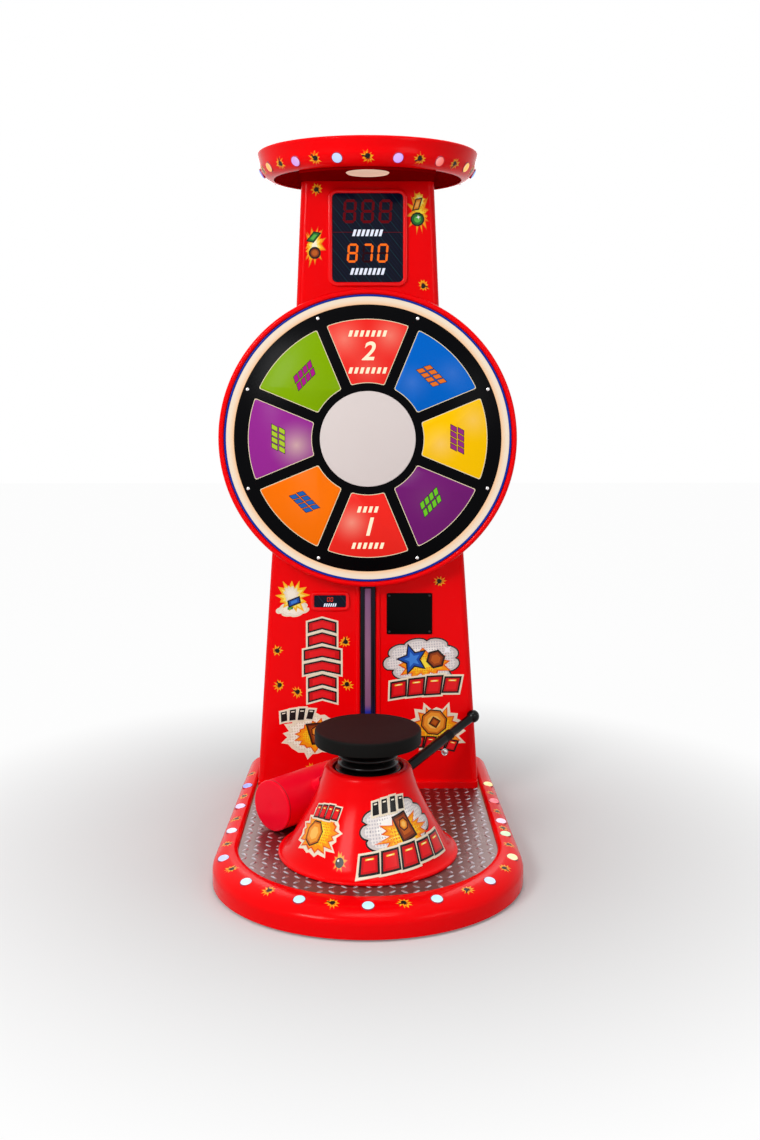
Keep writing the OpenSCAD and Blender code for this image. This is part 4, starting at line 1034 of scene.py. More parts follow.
def repeated(name: str, shape: Piece, spots: Sequence[Spot], cap: Look, rim: Look) -> Piece:
    """Sets copies of a shape on a list of spots with Geometry Nodes.

    Args:
        name: Name of the piece.
        shape: The shape, drawn round its own Z axis, which is used up.
        spots: Where each copy goes.
        cap: Finish of the shape.
        rim: Finish of its faces that carry the attribute rim.

    Returns:
        One piece with all copies.
    """
    base = bpy.data.meshes.new(f"{name}_spots")
    base.from_pydata([tuple(s.at) for s in spots], [], [])
    for label, kind in (("turn", "FLOAT_VECTOR"), ("tint", "FLOAT_COLOR")):
        base.attributes.new(label, kind, "POINT")
    for i, spot in enumerate(spots):
        base.attributes["turn"].data[i].vector = tuple(spot.facing.to_track_quat("Z", "Y").to_euler())
        base.attributes["tint"].data[i].color = linear(spot.tint)
    piece = grown(name, base, COPIES, Shape=shape, Cap=cap.material, Rim=rim.material)
    bpy.data.objects.remove(shape)
    return shade(piece)


def mark_rim(shape: Piece, from_radius: float, below: float | None = None) -> Piece:
    """Marks the outer faces of a turned shape, which take the rim's finish.

    Args:
        shape: The shape, about its own Z axis.
        from_radius: Radius of a face's middle from which it is rim.
        below: Height under which every face is rim too.

    Returns:
        The same shape.
    """
    mark = shape.data.attributes.new("rim", "BOOLEAN", "FACE")
    for face in shape.data.polygons:
        low = below is not None and face.center.z < below
        mark.data[face.index].value = hypot(*face.center[:2]) > from_radius or low
    return shape


@dataclass(frozen=True)
class Plan:
    """Plan of the base or of its recess: a half ellipse in front, straight sides and a cornered rear."""

    half_w: float
    nose: float
    nose_y: float
    rear_half: float
    rear_y: float
    corner: float
    nose_steps: int = 96

    def points(self) -> list[Point2]:
        """The plan's points, anticlockwise from the left end of the round front."""
        front = [(self.half_w * cos(t), self.nose_y + self.nose * sin(t))
                 for t in (pi * (1 + i / self.nose_steps) for i in range(self.nose_steps + 1))]
        x, y = self.rear_half - self.corner, self.rear_y - self.corner
        return front + arc(x, y, self.corner, 0, 90, 10) + arc(-x, y, self.corner, 90, 180, 10)

    def nose_point(self, turn: float) -> Vector:
        """Point of the round front, with the turn in degrees from the middle to the right."""
        t = radians(turn)
        return Vector((self.half_w * sin(t), self.nose_y - self.nose * cos(t)))

    def side_point(self, share: float) -> Vector:
        """Point of the right side, from the end of the round front to the rear corner."""
        start = Vector((self.half_w, self.nose_y))
        return start.lerp(Vector((self.rear_half, self.rear_y - self.corner)), share)


def between(outer: Sequence[Point2], inner: Sequence[Point2], share: float, z: float) -> list[Point3]:
    """Outline that lies a share of the way from the outer one to the inner one, at a height."""
    return [(p[0] * (1 - share) + q[0] * share, p[1] * (1 - share) + q[1] * share, z)
            for p, q in zip(outer, inner)]


def height_at(curve: Sequence[Point2], x: float) -> float:
    """Height at one X of a curve whose X rises, with a straight line between its points.

    Args:
        curve: Places and heights along the curve.
        x: The place.

    Returns:
        The height there.
    """
    for (x0, y0), (x1, y1) in zip(curve, curve[1:]):
        if x <= x1:
            return y0 + (y1 - y0) * max(0.0, x - x0) / max(1e-9, x1 - x0)
    return curve[-1][1]


def lamp_shape() -> Piece:
    """One small lamp about its own Z axis: a glass cap in a thin rim, with its face at the origin."""
    radius, dome, body = 0.018, 0.006, 0.010
    cap = radius * 0.86
    profile = [(0.0, dome)] + [(cap * sin(t), dome * 0.3 + dome * 0.7 * cos(t))
                               for t in (pi / 2 * i / 5 for i in range(1, 6))]
    profile += [(cap, 0.1 * dome), (cap + 0.5 * MM, 0.1 * dome), (cap + 0.6 * MM, 0.35 * dome),
                (radius - 0.6 * MM, 0.3 * dome), (radius, 0.0), (radius, -body), (0.0, -body)]
    return mark_rim(lathe("lamp_shape", profile, Matrix(), None, 24), cap + 0.2 * MM, -0.5 * body)


@dataclass(frozen=True)
class Base:
    """Moulded shell, tread plate and lamps that the machine stands on."""

    outer: Plan = Plan(0.453, 0.420, -0.235, 0.425, 0.655, 0.060)
    inner: Plan = Plan(0.385, 0.378, -0.168, 0.377, 0.6343, 0.001)
    lift: float = 0.006
    wall_h: float = 0.042
    rim_h: float = 0.084
    deck_z: float = 0.066
    roll: float = 0.72
    tread_t: float = 0.0019
    tread_rear: float = 0.3325
    hole_r: float = 0.2
    striker: Point2 = (0.0, -0.198)

    def rim_curve(self, steps: int = 16) -> list[Point2]:
        """Rim's outer surface from the floor to the recess: share of its width and height.

        Args:
            steps: Number of steps from the outer edge to the inner one.

        Returns:
            Shares and heights.
        """
        top, rise = self.rim_h, self.rim_h - self.wall_h
        rolled = [(self.roll * (1 - cos(t)), self.wall_h + rise * sin(t) ** 0.9)
                  for t in (pi / 2 * i / steps for i in range(steps + 1))]
        drops = [(0.8, 0.0003), (0.86, 0.001), (0.91, 0.0024), (0.95, 0.0044), (0.98, 0.007),
                 (0.995, 0.0098), (1.0, 0.013)]
        return ([(0.022, self.lift), (0.004, self.lift + 0.0008), (0.0, self.lift + 0.003)] + rolled
                + [(share, top - drop) for share, drop in drops] + [(1.0, self.deck_z)])

    def rim_z(self, share: float) -> float:
        """Height of the rim at a share of its width."""
        return height_at(self.rim_curve(60)[3:-1], share)

    def spot(self, p: Vector, q: Vector, share: float) -> Spot3:
        """Place on the rim and the way that the surface faces there.

        Args:
            p: Point of the outer outline.
            q: Matching point of the inner outline.
            share: Share of the way from one to the other.

        Returns:
            The place and the normal.
        """
        away = (p - q).normalized()
        drop = (self.rim_z(share + 0.05) - self.rim_z(share - 0.05)) / (0.1 * (p - q).length)
        normal = Vector((away.x * drop, away.y * drop, 1.0)).normalized()
        return Vector((*p.lerp(q, share), self.rim_z(share))), normal

    def nose_spot(self, turn: float, share: float) -> Spot3:
        """Place and normal on the round front."""
        return self.spot(self.outer.nose_point(turn), self.inner.nose_point(turn), share)

    def side_spot(self, side: int, run: float, share: float) -> Spot3:
        """Place and normal on the left side (-1) or the right side (1), a share of its run from the front.

        Args:
            side: -1 for the left side, 1 for the right one.
            run: Share of the way to the rear.
            share: Share of the rim's width from its outer edge.

        Returns:
            The point and its normal.
        """
        at, normal = self.spot(self.outer.side_point(run), self.inner.side_point(run), share)
        flip = Vector((side, 1, 1))
        return at * flip, normal * flip

    def lamps(self) -> list[Spot]:
        """Every lamp of the rim with its tint."""
        nose = {-78: (196, 206, 255), -52: (214, 236, 255), -25.5: (190, 240, 255), 0: (186, 240, 255),
                25.5: (190, 240, 255), 52: (206, 228, 255), 78: (255, 238, 170)}
        left = {0.14: (226, 232, 255), 0.40: (226, 206, 255), 0.64: (150, 160, 255)}
        right = {0.10: (214, 240, 190), 0.23: (255, 214, 236), 0.45: (255, 96, 110), 0.65: (250, 232, 150)}
        spots = [(self.nose_spot(t, 0.40), c) for t, c in nose.items()]
        spots += [(self.side_spot(-1, s, 0.52), c) for s, c in left.items()]
        spots += [(self.side_spot(1, s, 0.52), c) for s, c in right.items()]
        return [Spot(at - facing * 0.4 * MM, facing, tint) for (at, facing), tint in spots]

    def shell(self) -> Piece:
        """The moulded rim, a closed band with its inner side."""
        outer, inner, top = self.outer.points(), self.inner.points(), self.rim_h
        under = [(0.93, self.deck_z), (0.9, top - 0.013), (0.72, top - 0.008), (0.45, top - 0.012),
                 (0.22, top - 0.022), (0.1, self.wall_h), (0.09, self.lift)]
        rings = [between(outer, inner, s, z) for s, z in self.rim_curve() + under]
        return loft("rim_band", rings, Shade.RED_SHELL, ring=True, sharp_deg=50)

    def tread(self) -> Piece:
        """The patterned plate: a thin sheet with a hole for the post, and bars raised by Geometry Nodes."""
        work = bmesh.new()
        edge = between(self.outer.points(), self.inner.points(), 1.006, 0.0)
        rim = [work.verts.new((x, min(y, self.tread_rear), 0.0)) for x, y, _ in edge]
        x0, y0, r = *self.striker, self.hole_r
        hole = [work.verts.new((x0 + r * cos(t), y0 + r * sin(t), 0.0)) for t in round_turns(64)]
        bmesh.ops.remove_doubles(work, verts=work.verts, dist=1e-6)
        rim = [v for v in rim if v.is_valid]
        sides = [work.edges.new(pair) for row in (rim, hole) for pair in zip(row, row[1:] + row[:1])]
        bmesh.ops.triangle_fill(work, edges=sides, use_beauty=True)
        sheet = bmesh.ops.extrude_face_region(work, geom=work.faces[:])
        raised = [v for v in sheet["geom"] if isinstance(v, bmesh.types.BMVert)]
        bmesh.ops.translate(work, verts=raised, vec=(0, 0, self.tread_t))
        bmesh.ops.translate(work, verts=work.verts, vec=(0, 0, self.deck_z))
        bmesh.ops.recalc_face_normals(work, faces=work.faces)
        # The extrusion leaves its sides in a chance order; edges and faces take that of their points.
        work.verts.index_update()
        for parts in (work.edges, work.faces):
            ordered = sorted(parts, key=lambda part: sorted(v.index for v in part.verts))
            places = {part: place for place, part in enumerate(ordered)}
            parts.sort(key=places.get)
        mesh = bpy.data.meshes.new("tread_sheet")
        work.to_mesh(mesh)
        work.free()
        mesh.materials.append(Shade.TREAD.material)
        plate = in_scene("tread_sheet", mesh)
        bpy.context.view_layer.update()
        bars = grown("tread_bars", bpy.data.meshes.new("tread_grid"), TREAD_BARS, Plate=plate, Pitch=0.033,
                     Columns=25, Rows=35, Bar=(0.0128, 0.0052, 0.0020), Top=self.deck_z + self.tread_t,
                     Material=Shade.TREAD_BAR.material)
        return merged("tread_pattern", shade(plate), shade(bars, 60))

    def build(self) -> Piece:
        """Builds and dresses every piece of the base that shows, and returns the shell."""
        shell = dress(self.shell(), "red_shell", "base_shell")
        dress(self.tread(), "tread_aluminium", "tread_plate")
        lamps = repeated("rim_lamps", lamp_shape(), self.lamps(), Shade.LAMP, Shade.LAMP_RIM)
        dress(lamps, "lamp_lens", "base_lamps")
        return shell


@dataclass(frozen=True)
class Striker:
    """Cone, bellows, spring and pad that the player hits, about one upright axis."""

    axis: Point2 = (0.0, -0.198)
    foot_z: float = 0.070
    top_z: float = 0.323
    bend_z: float = 0.318
    pad_z: float = 0.392
    pad_top: float = 0.435
    pad_r: float = 0.157
    mid_r: float = 0.230
    mid_h: float = 0.034
    neck_r: float = 0.141
    neck_h: float = 0.208

    def side(self, inset: float, t: float) -> Point2:
        """Radius and height of the bell's side, for t from the foot's hollow (0) to the neck (1)."""
        return (self.neck_r - inset + (self.mid_r - self.neck_r) * (1 - t) ** 1.2,
                self.mid_h + (self.neck_h - self.mid_h) * t)

    def cone(self) -> Piece:
        """The red cone: a bell with a hollow above its foot and a rounded shoulder."""
        high = self.top_z - self.foot_z
        outside = [(0.2650, -0.0008), (0.2655, 0.001), (0.2648, 0.0042), (0.2625, 0.0062)]
        for t in (i / 12 for i in range(12)):
            a, b, c = (1 - t) ** 2, 2 * t * (1 - t), t ** 2
            outside.append((a * 0.260 + b * 0.2453 + c * self.mid_r, a * 0.007 + b * 0.009 + c * self.mid_h))
        outside += [self.side(0.0, i / 16) for i in range(17)]
        shoulder = [(0.1370, 0.034), (0.1335, 0.024), (0.1312, 0.0145), (0.1288, 0.0078), (0.1258, 0.0036),
                    (0.1222, 0.0012), (0.117, 0.0), (0.107, 0.0), (0.1046, 0.0008), (0.1034, 0.0024),
                    (0.103, 0.004), (0.103, 0.022), (0.107, 0.022), (0.107, 0.008), (0.121, 0.012)]
        outside += [(radius, high - drop) for radius, drop in shoulder]
        inside = [self.side(0.007, 1 - i / 4) for i in range(5)] + [(0.235, 0.011), (0.242, 0.0)]
        return lathe("cone_body", outside + inside, upright(*self.axis, self.foot_z), Shade.RED_SHELL, 144,
                     True, 50)

    def boot(self) -> Piece:
        """The bellows: a wide skirt in the cone's mouth and three soft folds under the pad."""
        low, count, steps = 0.3085, 3, 14
        start, rise = low + 0.0145, self.pad_z - 0.0004 - low - 0.0145
        skirt = [(0.067, low), (0.0978, low), (0.0982, low + 0.006), (0.0976, low + 0.0095),
                 (0.0955, low + 0.0115), (0.0905, low + 0.013)]
        folds = []
        for i in range(count * steps + 1):
            bulge = 0.5 + 0.5 * cos(2 * pi * (i / steps - 0.5))
            folds.append((0.0766 + 0.0128 * bulge ** 0.55, start + rise * i / (count * steps)))
        inner = [(r - 0.003, z) for r, z in reversed(folds)] + [(0.067, low + 0.006)]
        return lathe("boot_folds", skirt + folds + inner, upright(*self.axis, 0.0), Shade.BELLOWS, 112, True,
                     70)

    def coil(self) -> Piece:
        """The return spring, wound by Geometry Nodes."""
        wire = 0.0036
        low, high = 0.3125 + wire, self.pad_z - 0.0006 - wire
        coil = grown("pad_coil", bpy.data.meshes.new("coil_start"), COIL, Radius=0.027, Height=high - low,
                     Turns=6.0, Wire=wire, Material=Shade.SPRING.material)
        coil.data.transform(upright(*self.axis, low))
        return shade(coil, 60)

    def pad(self) -> Piece:
        """The thick round pad of moulded rubber with a soft edge."""
        r, low, high, edge = self.pad_r, self.pad_z, self.pad_top, 0.0085
        profile = [(0.1455, low + 0.0002), (r - 0.004, low + 0.0002), (r - 0.0012, low + 0.0008),
                   (r - 0.0002, low + 0.003), (r, low + 0.006)]
        profile += arc(r - edge, high - edge, edge, 0, 90, 8)
        profile += [(r * 0.8, high), (r * 0.5, high - 0.0004), (0.03, high - 0.0006), (0.0, high - 0.0006),
                    (0.0, low + 0.0082), (0.1455, low + 0.0082)]
        return lathe("pad_body", profile, upright(*self.axis, 0.0), Shade.PAD, 144, True, 50)

    def build(self) -> Piece:
        """Builds and dresses the striker, and returns the cone."""
        cone = dress(self.cone(), "red_shell", "cone_shell")
        pad = dress(self.pad(), "pad_rubber", "strike_pad", body="striker")
        for piece, node, slot in ((self.boot(), "bellows", "bellows_rubber"),
                                  (self.coil(), "return_spring", "spring_steel")):
            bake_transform(piece)
            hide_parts(node)
            LOG.info("%s: bends with the pad", piece.name)
        return cone


def prisms(name: str, plans: Sequence[Sequence[Point2]], low: float, high: float, place: Matrix, look: Look
           ) -> Piece:
    """Makes flat plates from several plans, as one piece.

    Args:
        name: Name of the piece.
        plans: Closed plans, each with its points in turn.
        low: Height of the back.
        high: Height of the front.
        place: Where the plans lie.
        look: Finish of the piece.

    Returns:
        The new piece.
    """
    points: list[Vector] = []
    faces: list[list[int]] = []
    for plan in plans:
        start, count = len(points), len(plan)
        top = start + count
        points += [place @ Vector((x, y, z)) for z in (low, high) for x, y in plan]
        faces += [list(range(start, top)), list(range(top, top + count))]
        faces += [[start + i, start + (i + 1) % count, top + (i + 1) % count, top + i] for i in range(count)]
    return mesh_piece(name, points, faces, look, 30)


def figures(text: str, height: float, lean: float, hidden: bool = False, step: float = 0.76
            ) -> list[list[Point2]]:
    """Plans of the bars of a row of seven-bar figures, about the row's middle.

    Args:
        text: The figures.
        height: Height of a figure.
        lean: How far a figure leans to the right for each unit of its height.
        hidden: Whether the bars that are not lit are drawn instead.
        step: Distance from one figure to the next, as a share of the height.

    Returns:
        One plan for each bar.
    """
    lit = {"0": "abcdef", "7": "abc", "8": "abcdefg"}
    wide, thick, gap = height * 0.56, height * 0.115, height * 0.012
    x, y, side = (wide - thick) / 2, (height - thick) / 2, thick / 2
    bars = {"a": (0, y, 0), "b": (x, y / 2, 1), "c": (x, -y / 2, 1), "d": (0, -y, 0), "e": (-x, -y / 2, 1),
            "f": (-x, y / 2, 1), "g": (0, 0, 0)}
    plans = []
    for n, figure in enumerate(text):
        shift = (n - (len(text) - 1) / 2) * height * step
        for key, (bx, by, standing) in bars.items():
            if (key in lit[figure]) == hidden:
                continue
            tip = (y if standing else 2 * x) / 2 - gap
            shape = [(-tip, 0), (side - tip, -side), (tip - side, -side), (tip, 0), (tip - side, side),
                     (side - tip, side)]
            turned = [(-q, p) if standing else (p, q) for p, q in shape]
            plans.append([(bx + p + shift + lean * (by + q), by + q) for p, q in turned])
    return plans


@dataclass(frozen=True)
class Cabinet:
    """Tapered cabinet with its foot, ribs, light strip, cover plate and key lock."""

    front: float = 0.345
    rear: float = 0.630
    foot_z: float = 0.066
    knee_z: float = 0.815
    column_z: float = 1.690
    top_z: float = 2.100
    foot_half: float = 0.3755
    knee_half: float = 0.326
    column_half: float = 0.237
    top_half: float = 0.219
    edge_r: float = 0.024
    wall: float = 0.005
    strip_z: float = 0.532
    strip_h: float = 0.464

    def half_w(self, z: float) -> float:
        """Half width at a height: two straight tapers joined by a smooth waist.

        Args:
            z: The height.

        Returns:
            Half the width there.
        """
        lower = (self.knee_half - self.foot_half) / (self.knee_z - self.foot_z)
        upper = (self.top_half - self.column_half) / (self.top_z - self.column_z)
        if z < self.knee_z:
            return self.knee_half + lower * (z - self.knee_z)
        if z > self.column_z:
            return self.column_half + upper * (z - self.column_z)
        run = self.column_z - self.knee_z
        t = (z - self.knee_z) / run
        return ((2 * t**3 - 3 * t**2 + 1) * self.knee_half + (t**3 - 2 * t**2 + t) * run * lower
                + (3 * t**2 - 2 * t**3) * self.column_half + (t**3 - t**2) * run * upper)

    def path(self, z: float, inset: float) -> list[Point3]:
        """Section without its rear side: from the left rear round the front to the right rear.

        Args:
            z: Height of the section.
            inset: How far it is drawn in.

        Returns:
            The section's points.
        """
        w, r, y = self.half_w(z) - inset, self.edge_r - inset, self.front + inset
        left = [(px, py, z) for px, py in arc(r - w, y + r, r, 180, 270, 10)]
        right = [(-px, py, z) for px, py, _ in reversed(left)]
        middle = [((w - r) * (i / 6 - 1), y, z) for i in range(1, 12)]
        return [(-w, self.rear, z), *left, *middle, *right, (w, self.rear, z)]

    def heights(self) -> list[float]:
        """Heights at which the section is drawn."""
        lower = [self.foot_z + (self.knee_z - self.foot_z) * i / 8 for i in range(8)]
        waist = [self.knee_z + (self.column_z - self.knee_z) * i / 30 for i in range(31)]
        return lower + waist + [1.8, 1.9, 2.0, self.top_z]

    def shell(self) -> Piece:
        """The bent shell with its top, foot step and two ribs."""
        red = Shade.RED_SHELL
        rings = [self.path(z, 0.0) + self.path(z, self.wall)[::-1] for z in self.heights()]
        body = loft("cabinet_wrap", rings, red, sharp_deg=50)
        lid = loft("cabinet_lid", [self.path(z, 0.001) for z in (self.top_z - 0.004, self.top_z)], red)
        plan = rect_outline(2 * self.half_w(0.091) - 0.001, 0.072, 0.020)
        place = upright(0.0, self.front + 0.024, self.foot_z)
        step = slab("cabinet_step", plan, soft_edge(0.025, 0.003), place, red)
        plan = rect_outline(0.0165, self.strip_h, 0.004)
        ribs = [slab("cabinet_rib", plan, soft_edge(0.007, 0.0058, -0.001),
                     facing_player(x, self.front, self.strip_z), red) for x in (-0.0334, 0.0334)]
        return merged("cabinet_body", body, lid, step, *ribs)

    def strip(self) -> list[Piece]:
        """The light strip: a dark channel with rounded lips and a violet core in it."""
        place = facing_player(0.0, self.front, self.strip_z)
        section = [(0.0, 0.0), (0.0, 0.0095), (0.0008, 0.0113), (0.0026, 0.012), (0.0095, 0.012),
                   (0.0118, 0.0112), (0.0128, 0.0092), (0.0131, 0.003), (0.0240, 0.003), (0.0240, 0.0)]
        layers = [(0.0, 0.003), (0.0, 0.0068), (0.0012, 0.0088), (0.0034, 0.0102), (0.0066, 0.0109)]
        core = rect_outline(0.0215, self.strip_h - 0.0086, 0.004)
        return [slab("strip_trough", rect_outline(0.049, self.strip_h, 0.0035), section, place, Shade.CHANNEL,
                     50, True), slab("strip_core", core, layers, place, Shade.STRIP)]

    def cover(self) -> Piece:
        """The square black plate with four countersunk screws."""
        place = facing_player(0.1395, self.front, 0.665)
        plate = slab("cover_sheet", rect_outline(0.153, 0.140, 0.004), soft_edge(0.003, 0.0011), place,
                     Shade.SATIN_BLACK)
        head = [(0.0, 0.0036), (0.0022, 0.0035), (0.0034, 0.0028), (0.0038, 0.0016), (0.0038, 0.0),
                (0.0, 0.0)]
        screws = [lathe("cover_screw", head, place @ upright(x, y, 0.0012), Shade.SCREW_DARK, 16)
                  for x in (-0.0675, 0.0675) for y in (-0.061, 0.061)]
        return merged("cover_panel", plate, *screws)

    def lock(self) -> Piece:
        """The key lock: a chromed collar, a barrel and a narrow key slot."""
        place = facing_player(0.26, self.front, 0.190)
        collar = [(0.0, 0.0004), (0.0125, 0.0004), (0.0122, 0.0016), (0.0113, 0.0026), (0.0098, 0.0028),
                  (0.0086, 0.0022), (0.0082, 0.0014), (0.0078, 0.0026), (0.0070, 0.0030), (0.0, 0.0031)]
        slot = rounded_rect(0.0014, 0.0078, 0.0006, 4)
        return merged("lock_front", lathe("lock_collar", collar, place, Shade.CHROME, 48),
                      prisms("lock_slot", [slot], 0.002, 0.0032, place, Shade.SATIN_BLACK))

    def build(self) -> Piece:
        """Builds and dresses the cabinet, and returns its body."""
        body = dress(self.shell(), "red_shell", "cabinet_shell")
        channel, core = self.strip()
        dress(channel, "strip_black", "strip_channel")
        dress(core, "strip_violet", "strip_light")
        dress(self.cover(), "plate_black", "cover_plate")
        dress(self.lock(), "lock_chrome", "key_lock", body="key")
        return body


@dataclass(frozen=True)
class Wheel:
    """The lit wheel: dished housing, rings, black face, eight panes, hub and screws."""

    front: float = 0.345
    z: float = 1.257
    r: float = 0.490
    pane_in: float = 0.183
    pane_out: float = 0.392
    pane_half: float = 22.5
    pane_soft: float = 0.007
    spoke: float = 0.034
    screw_r: float = 0.425
    back: float = 0.0622
    face: float = 0.0680

    @property
    def place(self) -> Matrix:
        """Middle of the wheel on the cabinet's front, looking at the player."""
        return facing_player(0.0, self.front, self.z)

    def sector(self, turn: float, grow: float) -> list[Point2]:
        """Plan of one pane with round corners.

        Args:
            turn: Angle of the pane's middle in degrees, clockwise from the top.
            grow: How far the plan is grown on all sides; less than 0 shrinks it.

        Returns:
            The plan's points.
        """
        low, high, soft = self.pane_in - grow, self.pane_out + grow, self.pane_soft
        points: list[Vector] = []

        def at(radius: float, sign: int, back: float = 0.0, share: float = 1.0) -> Vector:
            """Point at a radius, a little way back from a straight side and a share of the way to it.

            Args:
                radius: The radius.
                sign: -1 for the left side, 1 for the right one.
                back: Distance back from the side.
                share: Share of the way to the side.

            Returns:
                The point.
            """
            t = sign * share * (radians(self.pane_half) - asin((self.spoke / 2 - grow) / radius)
                                - back / radius)
            return Vector((radius * sin(t), radius * cos(t)))

        for index, (radius, sign) in enumerate([(low, -1), (high, -1), (high, 1), (low, 1)]):
            corner = at(radius, sign)
            ends = [at(radius, sign, soft), at(radius + (soft if radius == low else -soft), sign)]
            if index in (1, 3):
                ends.reverse()
            for t in (i / 6 for i in range(7)):
                points.append(ends[0] * (1 - t) ** 2 + corner * 2 * t * (1 - t) + ends[1] * t * t)
            if index in (1, 3):
                points += [at(radius, sign, soft, 1 - 2 * i / 24) for i in range(1, 24)]
        spin = Matrix.Rotation(-radians(turn), 2)
        return [tuple(spin @ p) for p in points]

    def housing(self) -> Piece:
        """The red dish with its bead."""
        flat, soft, wall, bead = 0.430, 0.060, 0.006, 0.0095
        profile = [(0.0, 0.2 * MM), *arc(flat, soft, soft, -90, -6, 14),
                   *arc(self.r - bead, soft, bead, 0, 180, 15), *arc(flat, soft, soft - wall, -41, -90, 6),
                   (0.0, wall)]
        return lathe("wheel_dish", profile, self.place, Shade.RED_SHELL, 160, sharp_deg=50)

    def rings(self) -> None:
        """The blue ring, the glowing ring, the black face and the hub, each turned from its section."""
        back = self.back
        blue = [(0.4645, back), (0.4645, 0.0682), (0.4652, 0.0692), (0.4664, 0.0695), (0.469, 0.0695),
                (0.4702, 0.069), (0.4706, 0.068), (0.4706, back)]
        glow = [(0.4384, back), (0.4384, 0.0676), (0.4390, 0.0683), (0.4400, 0.0685), (0.4625, 0.0685),
                (0.4634, 0.0682), (0.4638, 0.0676), (0.4638, back)]
        face = [(0.1573, back), (0.1573, 0.0674), (0.4374, 0.0674), (0.4380, 0.0668), (0.4380, back)]
        hub = [(0.0, back), (0.1568, back), (0.1568, 0.0679), (0.1561, 0.0687), (0.1548, 0.069), (0.0, 0.069)]
        for name, section, look, steps, slot, node in (
                ("ring_blue", blue, Shade.BLUE_TRIM, 192, "blue_trim", "blue_trim_ring"),
                ("ring_glow", glow, Shade.GLOW_RING, 192, "glow_cream", "glow_ring"),
                ("face_plate", face, Shade.FACE_BLACK, 192, "face_black", "wheel_face"),
                ("hub_plate", hub, Shade.HUB, 144, "hub_white", "hub_disc")):
            dress(lathe(name, section, self.place, look, steps, section is not hub, 50), slot, node)

    def pane(self, turn: int, name: str, colour: Rgb, *bulbs: Point2) -> Piece:
        """One pane with a thin cream line round it.

        Args:
            turn: Angle of its middle in degrees, clockwise from the top.
            name: Name of its colour.
            colour: The colour.
            *bulbs: Angle, radius, size and strength of each bulb behind it.

        Returns:
            The pane.
        """
        seen = []
        for angle, radius, size, share in bulbs:
            t = radians(angle)
            middle = (radius * sin(t), self.front - self.face, self.z + radius * cos(t))
            seen.append((middle, size, share))
        look = LitPane(f"Lit pane {name} {turn}", colour, 0.3, specular=0.05, body=0.5, glow=0.5,
                       mottle=0.05, bulb_colour=(210, 230, 255) if name == "blue" else (255, 226, 196),
                       bulbs=tuple(seen))
        line = prisms("pane_line", [self.sector(turn, 0.0)], 0.0624, 0.0677, self.place, Shade.CREAM)
        layers = [(0.0022, 0.0624), (0.0022, 0.0678), (0.0024, self.face)]
        glass = slab("pane_glass", lambda inset: self.sector(turn, -inset), layers, self.place, look, 50)
        return merged(f"sector_{turn}", glass, line)

    def panes(self) -> None:
        """The eight panes, clockwise from the top; those of one colour are one piece."""
        made: dict[str, list[Piece]] = {}
        for turn, name, colour, *bulbs in (
                (0, "red", (244, 40, 34), (-13, 0.335, 0.10, 0.5), (12, 0.345, 0.09, 0.5),
                 (0, 0.23, 0.1, 0.2)),
                (45, "blue", (0, 100, 200), (38, 0.235, 0.085, 0.12), (52, 0.35, 0.08, 0.08)),
                (90, "yellow", (254, 198, 0), (80, 0.35, 0.08, 0.3), (94, 0.24, 0.08, 0.4)),
                (135, "purple", (114, 28, 112), (135, 0.28, 0.1, 0.05)),
                (180, "red", (242, 42, 34), (191, 0.28, 0.085, 0.7)),
                (225, "orange", (252, 116, 4), (225, 0.29, 0.1, 0.05)),
                (270, "magenta", (150, 40, 144), (265, 0.235, 0.1, 1.0)),
                (315, "green", (130, 172, 0), (315, 0.29, 0.1, 0.05))):
            made.setdefault(name, []).append(self.pane(turn, name, colour, *bulbs))
        for name, group in made.items():
            piece = merged(f"panes_{name}", *group) if len(group) > 1 else group[0]
            dress(piece, f"pane_{name}", f"pane_{name}")

    def screws(self) -> Piece:
        """The eight bright screws at the ends of the black spokes, set by Geometry Nodes."""
        head = [(0.0, 0.0030), (0.0024, 0.0029), (0.0044, 0.0023), (0.0056, 0.0012), (0.006, 0.0), (0.0, 0.0)]
        shape = mark_rim(lathe("screw_shape", head, Matrix(), None, 20), 1.0)
        spots = [Spot(self.place @ Vector((*polar(self.screw_r, 67.5 - 45 * k), 0.0672)), Vector((0, -1, 0)))
                 for k in range(8)]
        return repeated("face_screw_heads", shape, spots, Shade.CHROME, Shade.CHROME)

    def build(self) -> None:
        """Builds and dresses the wheel."""
        dress(self.housing(), "red_shell", "wheel_housing")
        self.rings()
        self.panes()
        dress(self.screws(), "screw_silver", "face_screws")


